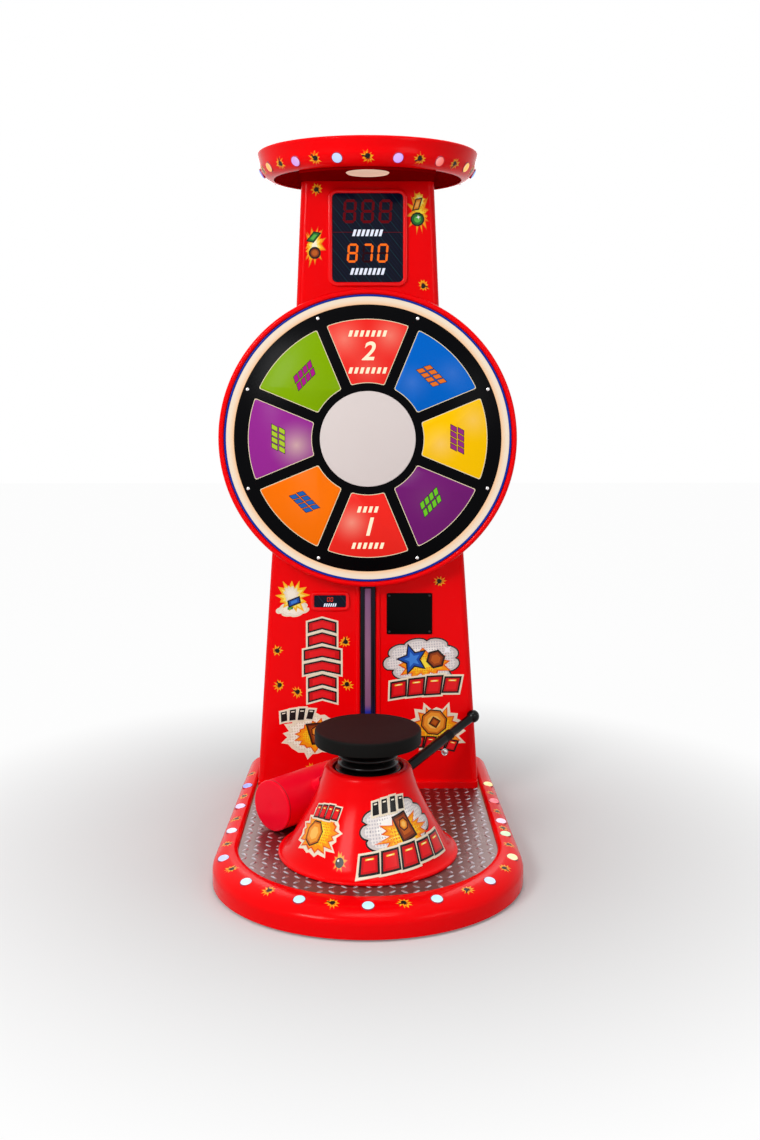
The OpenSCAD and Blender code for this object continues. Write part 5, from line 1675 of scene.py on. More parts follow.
@dataclass(frozen=True)
class Displays:
    """The score display above the wheel and the small credit display below it."""

    front: float = 0.345
    score_z: float = 1.916
    credit_x: float = -0.127
    credit_z: float = 0.708

    def score(self) -> None:
        """Builds and dresses the score display with its two rows of figures."""
        place = facing_player(0.0, self.front, self.score_z)
        section = [(0.0, 0.0), (0.0, 0.0065), (0.0012, 0.0088), (0.0034, 0.0100), (0.0105, 0.0100),
                   (0.0128, 0.0090), (0.0139, 0.0068), (0.0140, 0.0)]
        dress(slab("score_frame", rect_outline(0.261, 0.318, 0.030), section, place, Shade.RED_TRIM, 50,
                   True), "red_shell", "display_bezel")
        glass = slab("score_glass", rect_outline(0.2328, 0.2898, 0.0160), soft_edge(0.0048, 0.0004), place,
                     Shade.DISPLAY)
        seam = prisms("score_seam", [rounded_rect(0.2326, 0.0016, 0.0004, 2)], 0.0046, 0.0051,
                      place @ upright(0, 0.018, 0), Shade.DIM_DIGIT)
        dress(merged("score_panel", glass, seam), "display_dark", "display_panel")
        high, low = place @ upright(0, 0.086, 0), place @ upright(0, -0.050, 0)
        dress(prisms("figures_score", figures("888", 0.077, 0.06), 0.0046, 0.0056, high, Shade.DIM_DIGIT),
              "digit_dim", "score_digits")
        lit, dim = (figures("870", 0.062, 0.08, hidden, 0.8) for hidden in (False, True))
        dress(merged("figures_record", prisms("figures_lit", lit, 0.0046, 0.0056, low, Shade.LIT_DIGIT),
                     prisms("figures_off", dim, 0.0046, 0.0052, low, Shade.DARK_DIGIT)),
              "digit_lit", "record_digits")

    def credit(self) -> None:
        """Builds and dresses the credit display with its two figures."""
        place = facing_player(self.credit_x, self.front, self.credit_z)
        section = [(0.0, 0.0), (0.0, 0.0050), (0.0012, 0.0074), (0.0034, 0.0086), (0.0062, 0.0088),
                   (0.0092, 0.0082), (0.0112, 0.0068), (0.0122, 0.0050), (0.0125, 0.0)]
        dress(slab("credit_frame", rect_outline(0.131, 0.065, 0.017), section, place, Shade.RED_TRIM, 50,
                   True), "red_shell", "credit_bezel")
        dress(slab("credit_glass", rect_outline(0.1090, 0.0430, 0.005), soft_edge(0.0045, 0.0003), place,
                   Shade.DISPLAY), "display_dark", "credit_panel")
        dress(prisms("figures_credit", figures("00", 0.015, 0.06), 0.0043, 0.0053,
                     place @ upright(0, 0.0065, 0), Shade.LIT_RED), "credit_lit", "credit_digits")

    def build(self) -> None:
        """Builds both displays."""
        self.score()
        self.credit()


@dataclass(frozen=True)
class Canopy:
    """Round hood on top, with a flat back, lamps in its lower edge and a lamp in the soffit."""

    y: float = 0.397
    z: float = 2.108
    high: float = 0.087
    r: float = 0.364
    side_r: float = 0.356
    fillet: float = 0.045
    crown: float = 0.007
    wall: float = 0.005
    rear: float = 0.655
    lamp_tilt: float = 121

    @property
    def lip_r(self) -> float:
        """Radius at which the round lower edge turns level."""
        return self.side_r - self.fillet

    def hood(self) -> Piece:
        """The hood, with its flat back where the round form is cut off, and a duller flat top."""
        crown, fillet, high, wall, lip = self.crown, self.fillet, self.high, self.wall, self.lip_r
        outside = arc(lip, fillet, fillet, -90, 0, 15)
        outside += [(self.side_r + (self.r - self.side_r) * t ** 1.3, fillet + (high - crown - fillet) * t)
                    for t in (0.25, 0.5, 0.75)]
        outside += arc(self.r - crown, high - crown, crown, 0, 90, 8)
        outside += [(0.25, high), (0.1, high), (0.001, high)]
        inside = [(0.001, high - wall), (0.25, high - wall), (self.r - crown, high - wall),
                  (self.r - wall, high - crown), (self.side_r - wall, fillet)]
        inside += arc(lip, fillet, fillet - wall, -10, -90, 8)
        rings = [[(radius * sin(t), min(self.y - radius * cos(t), back), self.z + height)
                  for t in round_turns(200)]
                 for profile, back in ((outside, self.rear), (inside, self.rear - wall))
                 for radius, height in profile]
        hood = loft("canopy_hood", rings, Shade.RED_SHELL, ring=True, sharp_deg=50)
        hood.data.materials.append(Shade.RED_TOP.material)
        for face in hood.data.polygons:
            face.material_index = int(face.center.z > self.z + high - 0.1 * MM)
        return hood

    def lamps(self) -> Piece:
        """The ten lamps in the round lower edge, set by Geometry Nodes."""
        left = [(170, 196, 255), (208, 130, 226), (250, 176, 44), (120, 130, 250), (150, 160, 255)]
        right = [(196, 130, 246), (240, 66, 20), (250, 188, 60), (120, 176, 250), (180, 200, 255)]
        flat, drop = polar(1.0, 90 - self.lamp_tilt)
        spots = []
        for side, tints in ((-1, left), (1, right)):
            for k, tint in enumerate(tints):
                x, y = polar(1.0, -90 + side * (15.5 + 24.3 * k))
                facing = Vector((flat * x, flat * y, drop))
                root = Vector((self.lip_r * x, self.y + self.lip_r * y, self.z + self.fillet))
                spots.append(Spot(root + facing * (self.fillet - 0.6 * MM), facing, tint))
        return repeated("canopy_lamp_set", lamp_shape(), spots, Shade.LAMP, Shade.LAMP_RIM)

    def soffit_light(self) -> Piece:
        """The round lamp over the display: a flanged rim with a shallow warm lens."""
        place = upright(0.0, 0.162, 2.100) @ Matrix.Rotation(pi, 4, "X")
        lens = [(0.0, 0.0040), (0.03, 0.0038), (0.05, 0.0030), (0.0585, 0.0022), (0.0600, 0.0014)]
        rim = [(0.0606, 0.0030), (0.0622, 0.0038), (0.0640, 0.0036), (0.0668, 0.0016), (0.0682, 0.0002),
               (0.0682, 0.0), (0.0632, 0.0), (0.0632, -0.0138), (0.0, -0.0138)]
        return lathe("soffit_lens", lens + rim, place, Shade.WARM_LENS)

    def build(self) -> Piece:
        """Builds and dresses the canopy, and returns its hood."""
        hood = dress(self.hood(), "red_shell", "canopy_shell")
        dress(self.lamps(), "lamp_lens", "canopy_lamps")
        dress(self.soffit_light(), "warm_lens", "soffit_lamp")
        return hood


@dataclass(frozen=True)
class Mallet:
    """Soft mallet that lies on the deck, with its bent neck and its stepped handle."""

    middle: Point3 = (-0.202, 0.048, 0.1483)
    neck_end: Point3 = (0.054, 0.083, 0.166)
    ball: Point3 = (0.353, 0.323, 0.3195)
    turn: float = 47.0
    rise: float = 35.0
    head_r: float = 0.078
    length: float = 0.280
    handle_r: float = 0.017
    grip_r: float = 0.0142
    ball_r: float = 0.0215
    handle_len: float = 0.308

    @property
    def axis(self) -> Vector:
        """Direction of the head's axis."""
        return Vector((*polar(1.0, self.turn), 0.0))

    @property
    def out(self) -> Vector:
        """Direction in which the neck leaves the head."""
        t, u = radians(self.turn), radians(self.rise)
        return Vector((sin(t) * cos(u), -cos(t) * cos(u), sin(u)))

    @property
    def grip_way(self) -> Vector:
        """Direction of the straight handle."""
        return (Vector(self.ball) - Vector(self.neck_end)).normalized()

    def outwards(self, reach: float) -> Vector:
        """Point at a distance from the head's middle towards the neck."""
        return Vector(self.middle) + self.out * reach

    def head(self) -> Piece:
        """The padded drum: vinyl that bulges a little between its seams."""
        half, r, g, steps = self.length / 2 - 0.0092, self.head_r, self.handle_r, 22
        profile = [(0.0, 0.0006 - half), (r - 0.003, 0.0006 - half), (r - 0.0012, -half)]
        profile += [(r - 0.0012 + 0.0010 * (1 - t**4), half * t)
                    for t in (-1 + 2 * i / steps for i in range(steps + 1))]
        profile += [(r - 0.003, half - 0.0006), (0.0, half - 0.0006)]
        collar = [(0.0, 0.0), (g + 0.0068, 0.0), (g + 0.0058, 0.003), (g + 0.0040, 0.009),
                  (g + 0.0034, 0.030), (g + 0.0028, 0.0335), (g + 0.0006, 0.034), (0.0, 0.034)]
        drum = lathe("drum_body", profile, along(Vector(self.middle), self.axis), Shade.VINYL, 128,
                     sharp_deg=60)
        boss = lathe("drum_sleeve", collar, along(self.outwards(r - 0.0018), self.out), Shade.VINYL, 48)
        return merged("mallet_drum", drum, boss)

    def caps(self) -> Piece:
        """The two end caps with a welt at their edge and a soft dimple in the middle."""
        pieces, r = [], self.head_r
        face = [(0.0, 0.0), (r - 0.002, 0.0), (r - 0.0008, 0.0006)]
        face += arc(r - 0.0048, 0.0046, 0.0046, -40, 80, 10)
        face += [(0.066, 0.0094), (0.045, 0.0099), (0.020, 0.0098), (0.008, 0.0090), (0.0, 0.0080)]
        welt = arc(r - 0.0012, 0.0002, 0.0011, 0, 315, 7)
        for way in (-self.axis, self.axis):
            place = along(Vector(self.middle) + way * (self.length / 2 - 0.010), way)
            pieces += [lathe("cap_disc", face, place, Shade.VINYL, 128, sharp_deg=60),
                       lathe("cap_welt", welt, place, Shade.SEAM, 128, True)]
        return merged("mallet_end_discs", *pieces)

    def neck(self) -> Piece:
        """The bent rubber neck with shallow rings, swept along its curve."""
        start, end, steps = self.outwards(self.head_r + 0.034), Vector(self.neck_end), 46
        knots = [start, start + self.out * 0.060, end - self.grip_way * 0.080, end]
        path = [self.outwards(0.060), self.outwards(self.head_r + 0.002)]
        for t in (i / steps for i in range(steps + 1)):
            path.append(knots[0] * (1 - t) ** 3 + knots[1] * 3 * t * (1 - t) ** 2
                        + knots[2] * 3 * t * t * (1 - t) + knots[3] * t**3)
        rings, last = [], len(path) - 1
        for i, point in enumerate(path):
            ahead = path[min(i + 1, last)] - path[max(i - 1, 0)]
            way = self.grip_way if i == last else ahead.normalized()
            across = way.cross(UP).normalized()
            up = across.cross(way)
            radius = self.handle_r - (0.0011 if i % 3 == 0 and 3 < i < last - 2 else 0.0001)
            rings.append([point + across * radius * cos(t) + up * radius * sin(t) for t in round_turns(28)])
        return loft("mallet_bend", rings, Shade.GRIP, sharp_deg=60)

    def handle(self) -> Piece:
        """The straight handle: a thick tube, a ribbed step, a thinner grip and a ball."""
        r, g, b, step = self.handle_r, self.grip_r, self.ball_r, self.handle_len
        end, neck = (Vector(self.ball) - Vector(self.neck_end)).length, asin(g / b)
        profile = [(0.0, 0.0), (r, 0.0), (r, 0.004), (r - 0.0008, 0.0046), (r - 0.0008, 0.0056), (r, 0.0062),
                   (r, step - 0.034)]
        for low in (step - 0.032 + 0.007 * i for i in range(4)):
            profile += [(r - 0.0012, low), (r - 0.0012, low + 0.0022), (r, low + 0.003), (r, low + 0.0062)]
        profile += [(r - 0.0006, step - 0.0022), (g + 0.0008, step - 0.0004), (g, step + 0.001),
                    (g, end - b * cos(neck) - 0.002), *arc(0, end, b, degrees(neck) - 90, 90, 16)]
        profile[-1] = (0.0, end + b)
        return lathe("mallet_shaft", profile, along(Vector(self.neck_end), self.grip_way), Shade.GRIP, 56,
                     sharp_deg=50)

    def build(self) -> None:
        """Builds and dresses the mallet."""
        for piece, slot, node in ((self.head(), "vinyl_red", "mallet_head"),
                                  (self.caps(), "vinyl_red", "mallet_caps"),
                                  (self.neck(), "neck_rubber", "mallet_neck"),
                                  (self.handle(), "handle_black", "mallet_handle")):
            dress(piece, slot, node, body="mallet")


def lit_mark(name: str, colour: Rgb, glow: float = 0.9) -> Finish:
    """Ink of a mark that glows in one plain colour."""
    return Finish(f"Lit {name} mark", colour, 0.4, specular=0.03, body=0.1, glow=glow)


class Ink(Enum):
    """Printed colours of the films on the shell and of the marks on the wheel."""

    CREAM = Printed("Print cream", (246, 236, 214), specular=0.25, mottle=0.03,
                    stops=((0.0, (250, 243, 226)), (0.8, (238, 226, 200))), dot_colour=(226, 212, 190),
                    dot_scale=13.0, dots_from=0.55, dots_to=0.9)
    CLOUD = Printed("Print cloud", (240, 234, 226), specular=0.25, mottle=0.04,
                    stops=((0.0, (250, 246, 240)), (0.62, (232, 226, 222)), (0.9, (206, 198, 194))),
                    dot_colour=(198, 192, 196), dot_scale=15.0, dots_from=0.5, dots_to=0.95)
    WHITE = Printed("Print white", (244, 242, 246), specular=0.25, mottle=0.02,
                    stops=((0.0, (246, 244, 248)), (1.0, (246, 244, 248))))
    BLACK = Printed("Print black", (16, 14, 14), 0.3, stops=((0.0, (16, 14, 14)), (1.0, (16, 14, 14))))
    RED = Printed("Print red", (222, 14, 22), 0.3, mottle=0.04,
                  stops=((0.0, (232, 20, 28)), (0.75, (206, 8, 18))))
    FLAME = Printed("Print flame", (252, 176, 20), dot_colour=(240, 120, 16), dot_scale=12.0,
                    stops=((0.0, (255, 226, 60)), (0.42, (254, 198, 26)), (0.68, (250, 150, 16)),
                           (0.9, (226, 84, 14))), dots_from=0.3, dots_to=0.66)
    GLOW = Printed("Print pale flame", (255, 226, 120),
                   stops=((0.0, (255, 250, 220)), (0.4, (255, 232, 110)), (0.75, (252, 190, 30))))
    SPARK = Printed("Print spark", (250, 170, 20),
                    stops=((0.0, (24, 16, 16)), (0.4, (20, 14, 14)), (0.44, (240, 104, 12)),
                           (0.62, (253, 190, 22)), (0.9, (240, 130, 14))))
    BROWN = Printed("Print brown", (150, 66, 18), mottle=0.12,
                    stops=((0.0, (190, 92, 26)), (0.6, (150, 62, 16)), (0.86, (96, 34, 10))))
    AMBER = Printed("Print amber", (240, 160, 50), mottle=0.08,
                    stops=((0.0, (250, 190, 90)), (0.55, (240, 152, 44)), (0.85, (204, 104, 24))))
    BLUE = Printed("Print blue", (30, 90, 190), stops=((0.0, (60, 130, 220)), (0.6, (24, 78, 176))))
    GREEN = Printed("Print green", (40, 130, 50), stops=((0.0, (90, 180, 70)), (0.6, (30, 110, 44))))
    LIT_CREAM = lit_mark("cream", (255, 240, 206), 0.95)
    LIT_WHITE = lit_mark("white", (232, 236, 252), 0.95)
    LIT_VIOLET = lit_mark("violet", (176, 30, 140))
    LIT_ORANGE = lit_mark("orange", (236, 116, 40))
    LIT_PURPLE = lit_mark("purple", (150, 46, 130))
    LIT_GREEN = lit_mark("green", (110, 196, 40))
    LIT_BLUE = lit_mark("blue", (36, 96, 180))
    LIT_LIME = lit_mark("lime", (176, 204, 50))

    @property
    def material(self) -> Material:
        """Material of this ink."""
        return self.value.material


def spiked(width: float, height: float, spikes: int, depth: float, seed: int) -> list[Point2]:
    """Plan of a burst with uneven spikes.

    Args:
        width: Full width.
        height: Full height.
        spikes: Number of spikes.
        depth: How far the notches reach in, as a share of the radius.
        seed: Start of the random row, so that the plan is the same in every run.

    Returns:
        The plan's points about its middle.
    """
    row = random.Random(seed)
    points = []
    for i in range(spikes):
        tip, notch = 1.0 - 0.28 * row.random(), 1.0 - depth * (0.8 + 0.35 * row.random())
        for half, share in ((0.0, tip), (0.5, notch)):
            t = 2 * pi * (i + half + 0.24 * (row.random() - 0.5)) / spikes
            points.append((width / 2 * share * cos(t), height / 2 * share * sin(t)))
    return points


def scalloped(width: float, height: float, lobes: int, seed: int) -> list[Point2]:
    """Plan of a cloud with round lobes of uneven size.

    Args:
        width: Full width.
        height: Full height.
        lobes: Number of lobes.
        seed: Start of the random row.

    Returns:
        The plan's points.
    """
    row = random.Random(seed)
    points = []
    for i, size in enumerate([0.86 + 0.14 * row.random() for _ in range(lobes)]):
        for k in range(7):
            t = 2 * pi * (i + k / 7) / lobes
            bulge = size * (0.86 + 0.14 * sin(pi * k / 7) ** 0.6)
            points.append((width / 2 * bulge * cos(t), height / 2 * bulge * sin(t)))
    return points


def starred(radius: float, tips: int = 5, inner: float = 0.45, turn: float = 90) -> list[Point2]:
    """Plan of an even star."""
    return [polar(radius * (inner if i % 2 else 1), turn + 180 * i / tips) for i in range(2 * tips)]


def sided(radius: float, sides: int, turn: float = 0) -> list[Point2]:
    """Plan of an even polygon."""
    return [polar(radius, turn + 360 * i / sides) for i in range(sides)]


def slanted(width: float, height: float, lean: float = 0.25) -> list[Point2]:
    """Plan of a slanted bar."""
    x, y, shift = width / 2, height / 2, lean * height / 2
    return [(-x - shift, -y), (x - shift, -y), (x + shift, y), (-x + shift, y)]


def chevron(width: float, height: float, rise: float) -> list[Point2]:
    """Plan of a chevron that points up."""
    x, y, peak = width / 2, height / 2, rise / 2
    return [(-x, -y - peak), (0, -y + peak), (x, -y - peak), (x, y - peak), (0, y + peak), (-x, y - peak)]


def tally(count: int, width: float, height: float, pitch: float, lean: float = 0.3) -> list[list[Point2]]:
    """Plans of a row of plain slanted bars about the row's middle.

    Args:
        count: Number of bars.
        width: Width of a bar.
        height: Height of the row.
        pitch: Step from one bar to the next.
        lean: Slant of the bars.

    Returns:
        The plans.
    """
    middles = [pitch * (i - (count - 1) / 2) for i in range(count)]
    return [[(middle + p, q) for p, q in slanted(width, height, lean)] for middle in middles]


def outset(plan: Sequence[Point2], by: float) -> list[Point2]:
    """Moves every side of an anticlockwise plan outwards, with blunt corners where they are sharp.

    Args:
        plan: The plan.
        by: How far its sides move.

    Returns:
        The grown plan.
    """
    points = [Vector(p) for p in plan]
    wider = []
    for i, here in enumerate(points):
        before = (here - points[i - 1]).normalized()
        after = (points[(i + 1) % len(points)] - here).normalized()
        first, second = Vector((before.y, -before.x)), Vector((after.y, -after.x))
        middle = (first + second).normalized() if (first + second).length > 1e-6 else first
        reach = min(2.0, 1 / max(0.2, middle.dot(first)))
        wider.append(tuple(here + middle * by * reach))
    return wider


def refined(plan: Sequence[Point2], step: float) -> list[Point2]:
    """Adds points to a plan so that no side is longer than a step.

    Args:
        plan: The plan.
        step: The longest side.

    Returns:
        The plan with more points.
    """
    points = []
    for (x0, y0), (x1, y1) in zip(plan, [*plan[1:], plan[0]]):
        count = max(1, ceil(hypot(x1 - x0, y1 - y0) / step))
        points += [(x0 + (x1 - x0) * i / count, y0 + (y1 - y0) * i / count) for i in range(count)]
    return points


@dataclass(frozen=True)
class Layer:
    """One printed shape of a motif: its plan, its ink and where it lies in the motif."""

    plan: Sequence[Point2]
    ink: Ink
    x: float = 0.0
    y: float = 0.0
    turn: float = 0.0

    def moved(self) -> list[Point2]:
        """Plan of the shape in the motif."""
        c, s = polar(1.0, self.turn)
        return [(self.x + c * p - s * q, self.y + s * p + c * q) for p, q in self.plan]


def edged(plan: Sequence[Point2], ink: Ink, x: float = 0.0, y: float = 0.0, turn: float = 0.0, *,
          line: float) -> list[Layer]:
    """Layers of a shape with a black line of a given width round it."""
    return [Layer(outset(plan, line), Ink.BLACK, x, y, turn), Layer(plan, ink, x, y, turn)]


def bordered(shapes: Sequence[tuple[Sequence[Point2], Point3]], ink: Ink, line: float, border: float
             ) -> list[Layer]:
    """Layers of a group of shapes: all their cream borders, then their black lines, then their fills.

    Args:
        shapes: Plan of each shape with its x, y and turn.
        ink: Ink of the fills.
        line: Width of the line.
        border: Width of the border outside the line.

    Returns:
        The layers.
    """
    return ([Layer(outset(plan, line + border), Ink.CREAM, *place) for plan, place in shapes]
            + [Layer(outset(plan, line), Ink.BLACK, *place) for plan, place in shapes]
            + [Layer(plan, ink, *place) for plan, place in shapes])


def bars_row(count: int, width: float, height: float, pitch: float, ink: Ink, y: float, arch: float = 0.0,
             x: float = 0.0, *, line: float, border: float) -> list[Layer]:
    """Row of slanted bars with a line, a border and a highlight, laid on a slight arch.

    Args:
        count: Number of bars.
        width: Width of a bar.
        height: Height of a bar, about.
        pitch: Step from one bar to the next.
        ink: Ink of the bars.
        y: Height of the row's middle in the motif.
        arch: How fast the row falls towards its ends.
        x: Place of the row's middle in the motif.
        line: Width of the black line.
        border: Width of the cream border.

    Returns:
        The layers.
    """
    lean = 0.2
    bars, shines = [], []
    for i in range(count):
        t = i - (count - 1) / 2
        turn = -degrees(2 * arch * t / pitch)
        place = (x + t * pitch, y - arch * t * t, turn)
        bars.append((slanted(width, height * (1 + 0.10 * ((i * 7) % 3 - 1)), lean), place))
        up = Matrix.Rotation(radians(turn), 2) @ Vector((0.06 * height, 0.30 * height))
        shine = Ink.GLOW if ink is Ink.RED else Ink.CREAM
        shines.append(Layer(slanted(0.56 * width, 0.10 * height, lean), shine, place[0] + up.x,
                            place[1] + up.y, turn))
    return bordered(bars, ink, line, border) + shines


def spark(size: float, seed: int) -> list[Layer]:
    """Motif of a small dark-hearted spark.

    Args:
        size: Size of the spark.
        seed: Start of the random row.

    Returns:
        Its layers.
    """
    row = random.Random(seed)
    return [Layer(spiked(size * 1.2, size, 10, 0.56, seed), Ink.SPARK),
            Layer(sided(0.17 * size, 7, 90 * row.random()), Ink.BLACK, 0.06 * size, -0.05 * size),
            Layer(slanted(0.30 * size, 0.09 * size, 0.6), Ink.BLACK, 0.16 * size, 0.14 * size, 40)]


def turned(turn: float, lay: Surface) -> Surface:
    """The same patch after it is turned by an angle in degrees."""
    c, s = polar(1.0, turn)
    return lambda u, v: lay(c * u - s * v, s * u + c * v)


class Skin:
    """Surface of a finished piece, on which thin films are laid."""

    def __init__(self, piece: Piece) -> None:
        """Reads the piece's mesh."""
        points = [v.co.copy() for v in piece.data.vertices]
        self.tree = BVHTree.FromPolygons(points, [tuple(p.vertices) for p in piece.data.polygons])

    def cast(self, start: Vector, way: Vector) -> Spot3:
        """First point that a ray meets, and the outward normal there.

        Args:
            start: Start of the ray.
            way: Its direction.

        Returns:
            The point and its normal.
        """
        at, normal, _, _ = self.tree.ray_cast(start, way, 0.4)
        if at is None:
            at, normal, _, _ = self.tree.find_nearest(start)
        return at, normal if normal.dot(way) < 0 else -normal

    def patch(self, at: Vector, facing: Vector, up: Vector, turn: float = 0.0) -> Surface:
        """Patch that is laid on straight along its facing direction.

        Args:
            at: Middle of the patch.
            facing: Direction that the patch faces.
            up: Direction of its own Y axis, about.
            turn: Angle that the patch is turned by, in degrees.

        Returns:
            Function from places on the patch to points and normals of the piece.
        """
        facing = facing.normalized()
        across = up.cross(facing).normalized()
        along_up = facing.cross(across)

        def lay(p: float, q: float) -> Spot3:
            """Point and normal at one place."""
            return self.cast(at + across * p + along_up * q + facing * 0.05, -facing)

        return turned(turn, lay)

    def wrap(self, middle: Point2, radius: float, angle: float, z: float, turn: float = 0.0) -> Surface:
        """Patch that is wrapped round an upright axis.

        Args:
            middle: Place of the axis.
            radius: Radius at which the patch keeps its width.
            angle: Angle of the patch's middle in degrees, from the player's side to the right.
            z: Height of its middle.
            turn: Angle that the patch is turned by, in degrees.

        Returns:
            Function from places on the patch to points and normals of the piece.
        """
        def lay(p: float, q: float) -> Spot3:
            """Point and normal at one place.

            Args:
                p: Place across the patch.
                q: Place up the patch.

            Returns:
                The point and its normal.
            """
            t = radians(angle) + p / radius
            out = Vector((sin(t), -cos(t), 0.0))
            return self.cast(Vector((*middle, z + q)) + out * 0.36, -out)

        return turned(turn, lay)

    def hoop(self, canopy: Canopy, angle: float, tilt: float, turn: float = 0.0) -> Surface:
        """Patch on the canopy's round lower edge.

        Args:
            canopy: The canopy.
            angle: Angle from the player's side to the right, in degrees.
            tilt: Angle below which the patch faces, in degrees.
            turn: Angle that the patch is turned by, in degrees.

        Returns:
            Function from places on the patch to points and normals of the piece.
        """
        def lay(p: float, q: float) -> Spot3:
            """Point and normal at one place.

            Args:
                p: Place across the patch.
                q: Place up the patch.

            Returns:
                The point and its normal.
            """
            t = radians(angle) + p / canopy.side_r
            lean = radians(-tilt) + q / canopy.fillet
            out = Vector((sin(t), -cos(t), 0.0))
            facing = out * cos(lean) + Vector((0, 0, sin(lean)))
            root = Vector((0.0, canopy.y, canopy.z + canopy.fillet)) + out * canopy.lip_r
            return self.cast(root + facing * 0.12, -facing)

        return turned(turn, lay)


@dataclass
class Films:
    """Collects the thin printed films of one piece and makes them one mesh."""

    name: str
    step: float
    lowest: float = 0.00012
    rise: float = 0.00009
    thick: float = 0.00008
    sunk: float = 0.0001
    pieces: list[Piece] = field(default_factory=list)

    def lay(self, surface: Surface, layers: Sequence[Layer]) -> None:
        """Lays the layers of a motif on a surface, each a little above the last."""
        for number, layer in enumerate(layers):
            self.pieces.append(self.film(layer, surface, self.lowest + self.rise * number))

    def film(self, layer: Layer, surface: Surface, lift: float) -> Piece:
        """Makes one film: rings from the middle to the edge, and a thin side all round.

        Args:
            layer: The printed shape.
            surface: Where the motif goes.
            lift: Height of the film's underside over the surface.

        Returns:
            The film.
        """
        plan, (mx, my) = refined(layer.moved(), self.step), (layer.x, layer.y)
        width = max(hypot(x - mx, y - my) for x, y in plan)
        rings, count = max(2, ceil(width / (2.2 * self.step))), len(plan)
        flat = [((mx, my), 0.0)]
        for share in (k / rings for k in range(1, rings + 1)):
            flat += [((mx + (x - mx) * share, my + (y - my) * share), share) for x, y in plan]
        points, uvs, reach = [], [], []
        last = len(flat) - count
        for (u, v), share, height in ([(p, s, lift + self.thick) for p, s in flat]
                                      + [(p, 1.0, -self.sunk) for p, _ in flat[last:]]):
            at, normal = surface(u, v)
            points.append(at + normal * height)
            uvs.append(((u - mx) / width, (v - my) / width))
            reach.append(share)
        faces = [(0, 1 + i, 1 + (i + 1) % count) for i in range(count)]
        for a in range(1, last + 1, count):
            b = a + count
            faces += [(a + i, b + i, b + (i + 1) % count, a + (i + 1) % count) for i in range(count)]
        piece = mesh_piece("film", points, faces, layer.ink, closed=False)
        print_map = piece.data.uv_layers.new(name="Print")
        for loop in piece.data.loops:
            print_map.data[loop.index].uv = uvs[loop.vertex_index]
        mark = piece.data.attributes.new("reach", "FLOAT", "POINT")
        mark.data.foreach_set("value", reach)
        return piece

    def finish(self) -> None:
        """Joins the films and lets them ride on the machine."""
        dress(merged(self.name, *self.pieces), None)


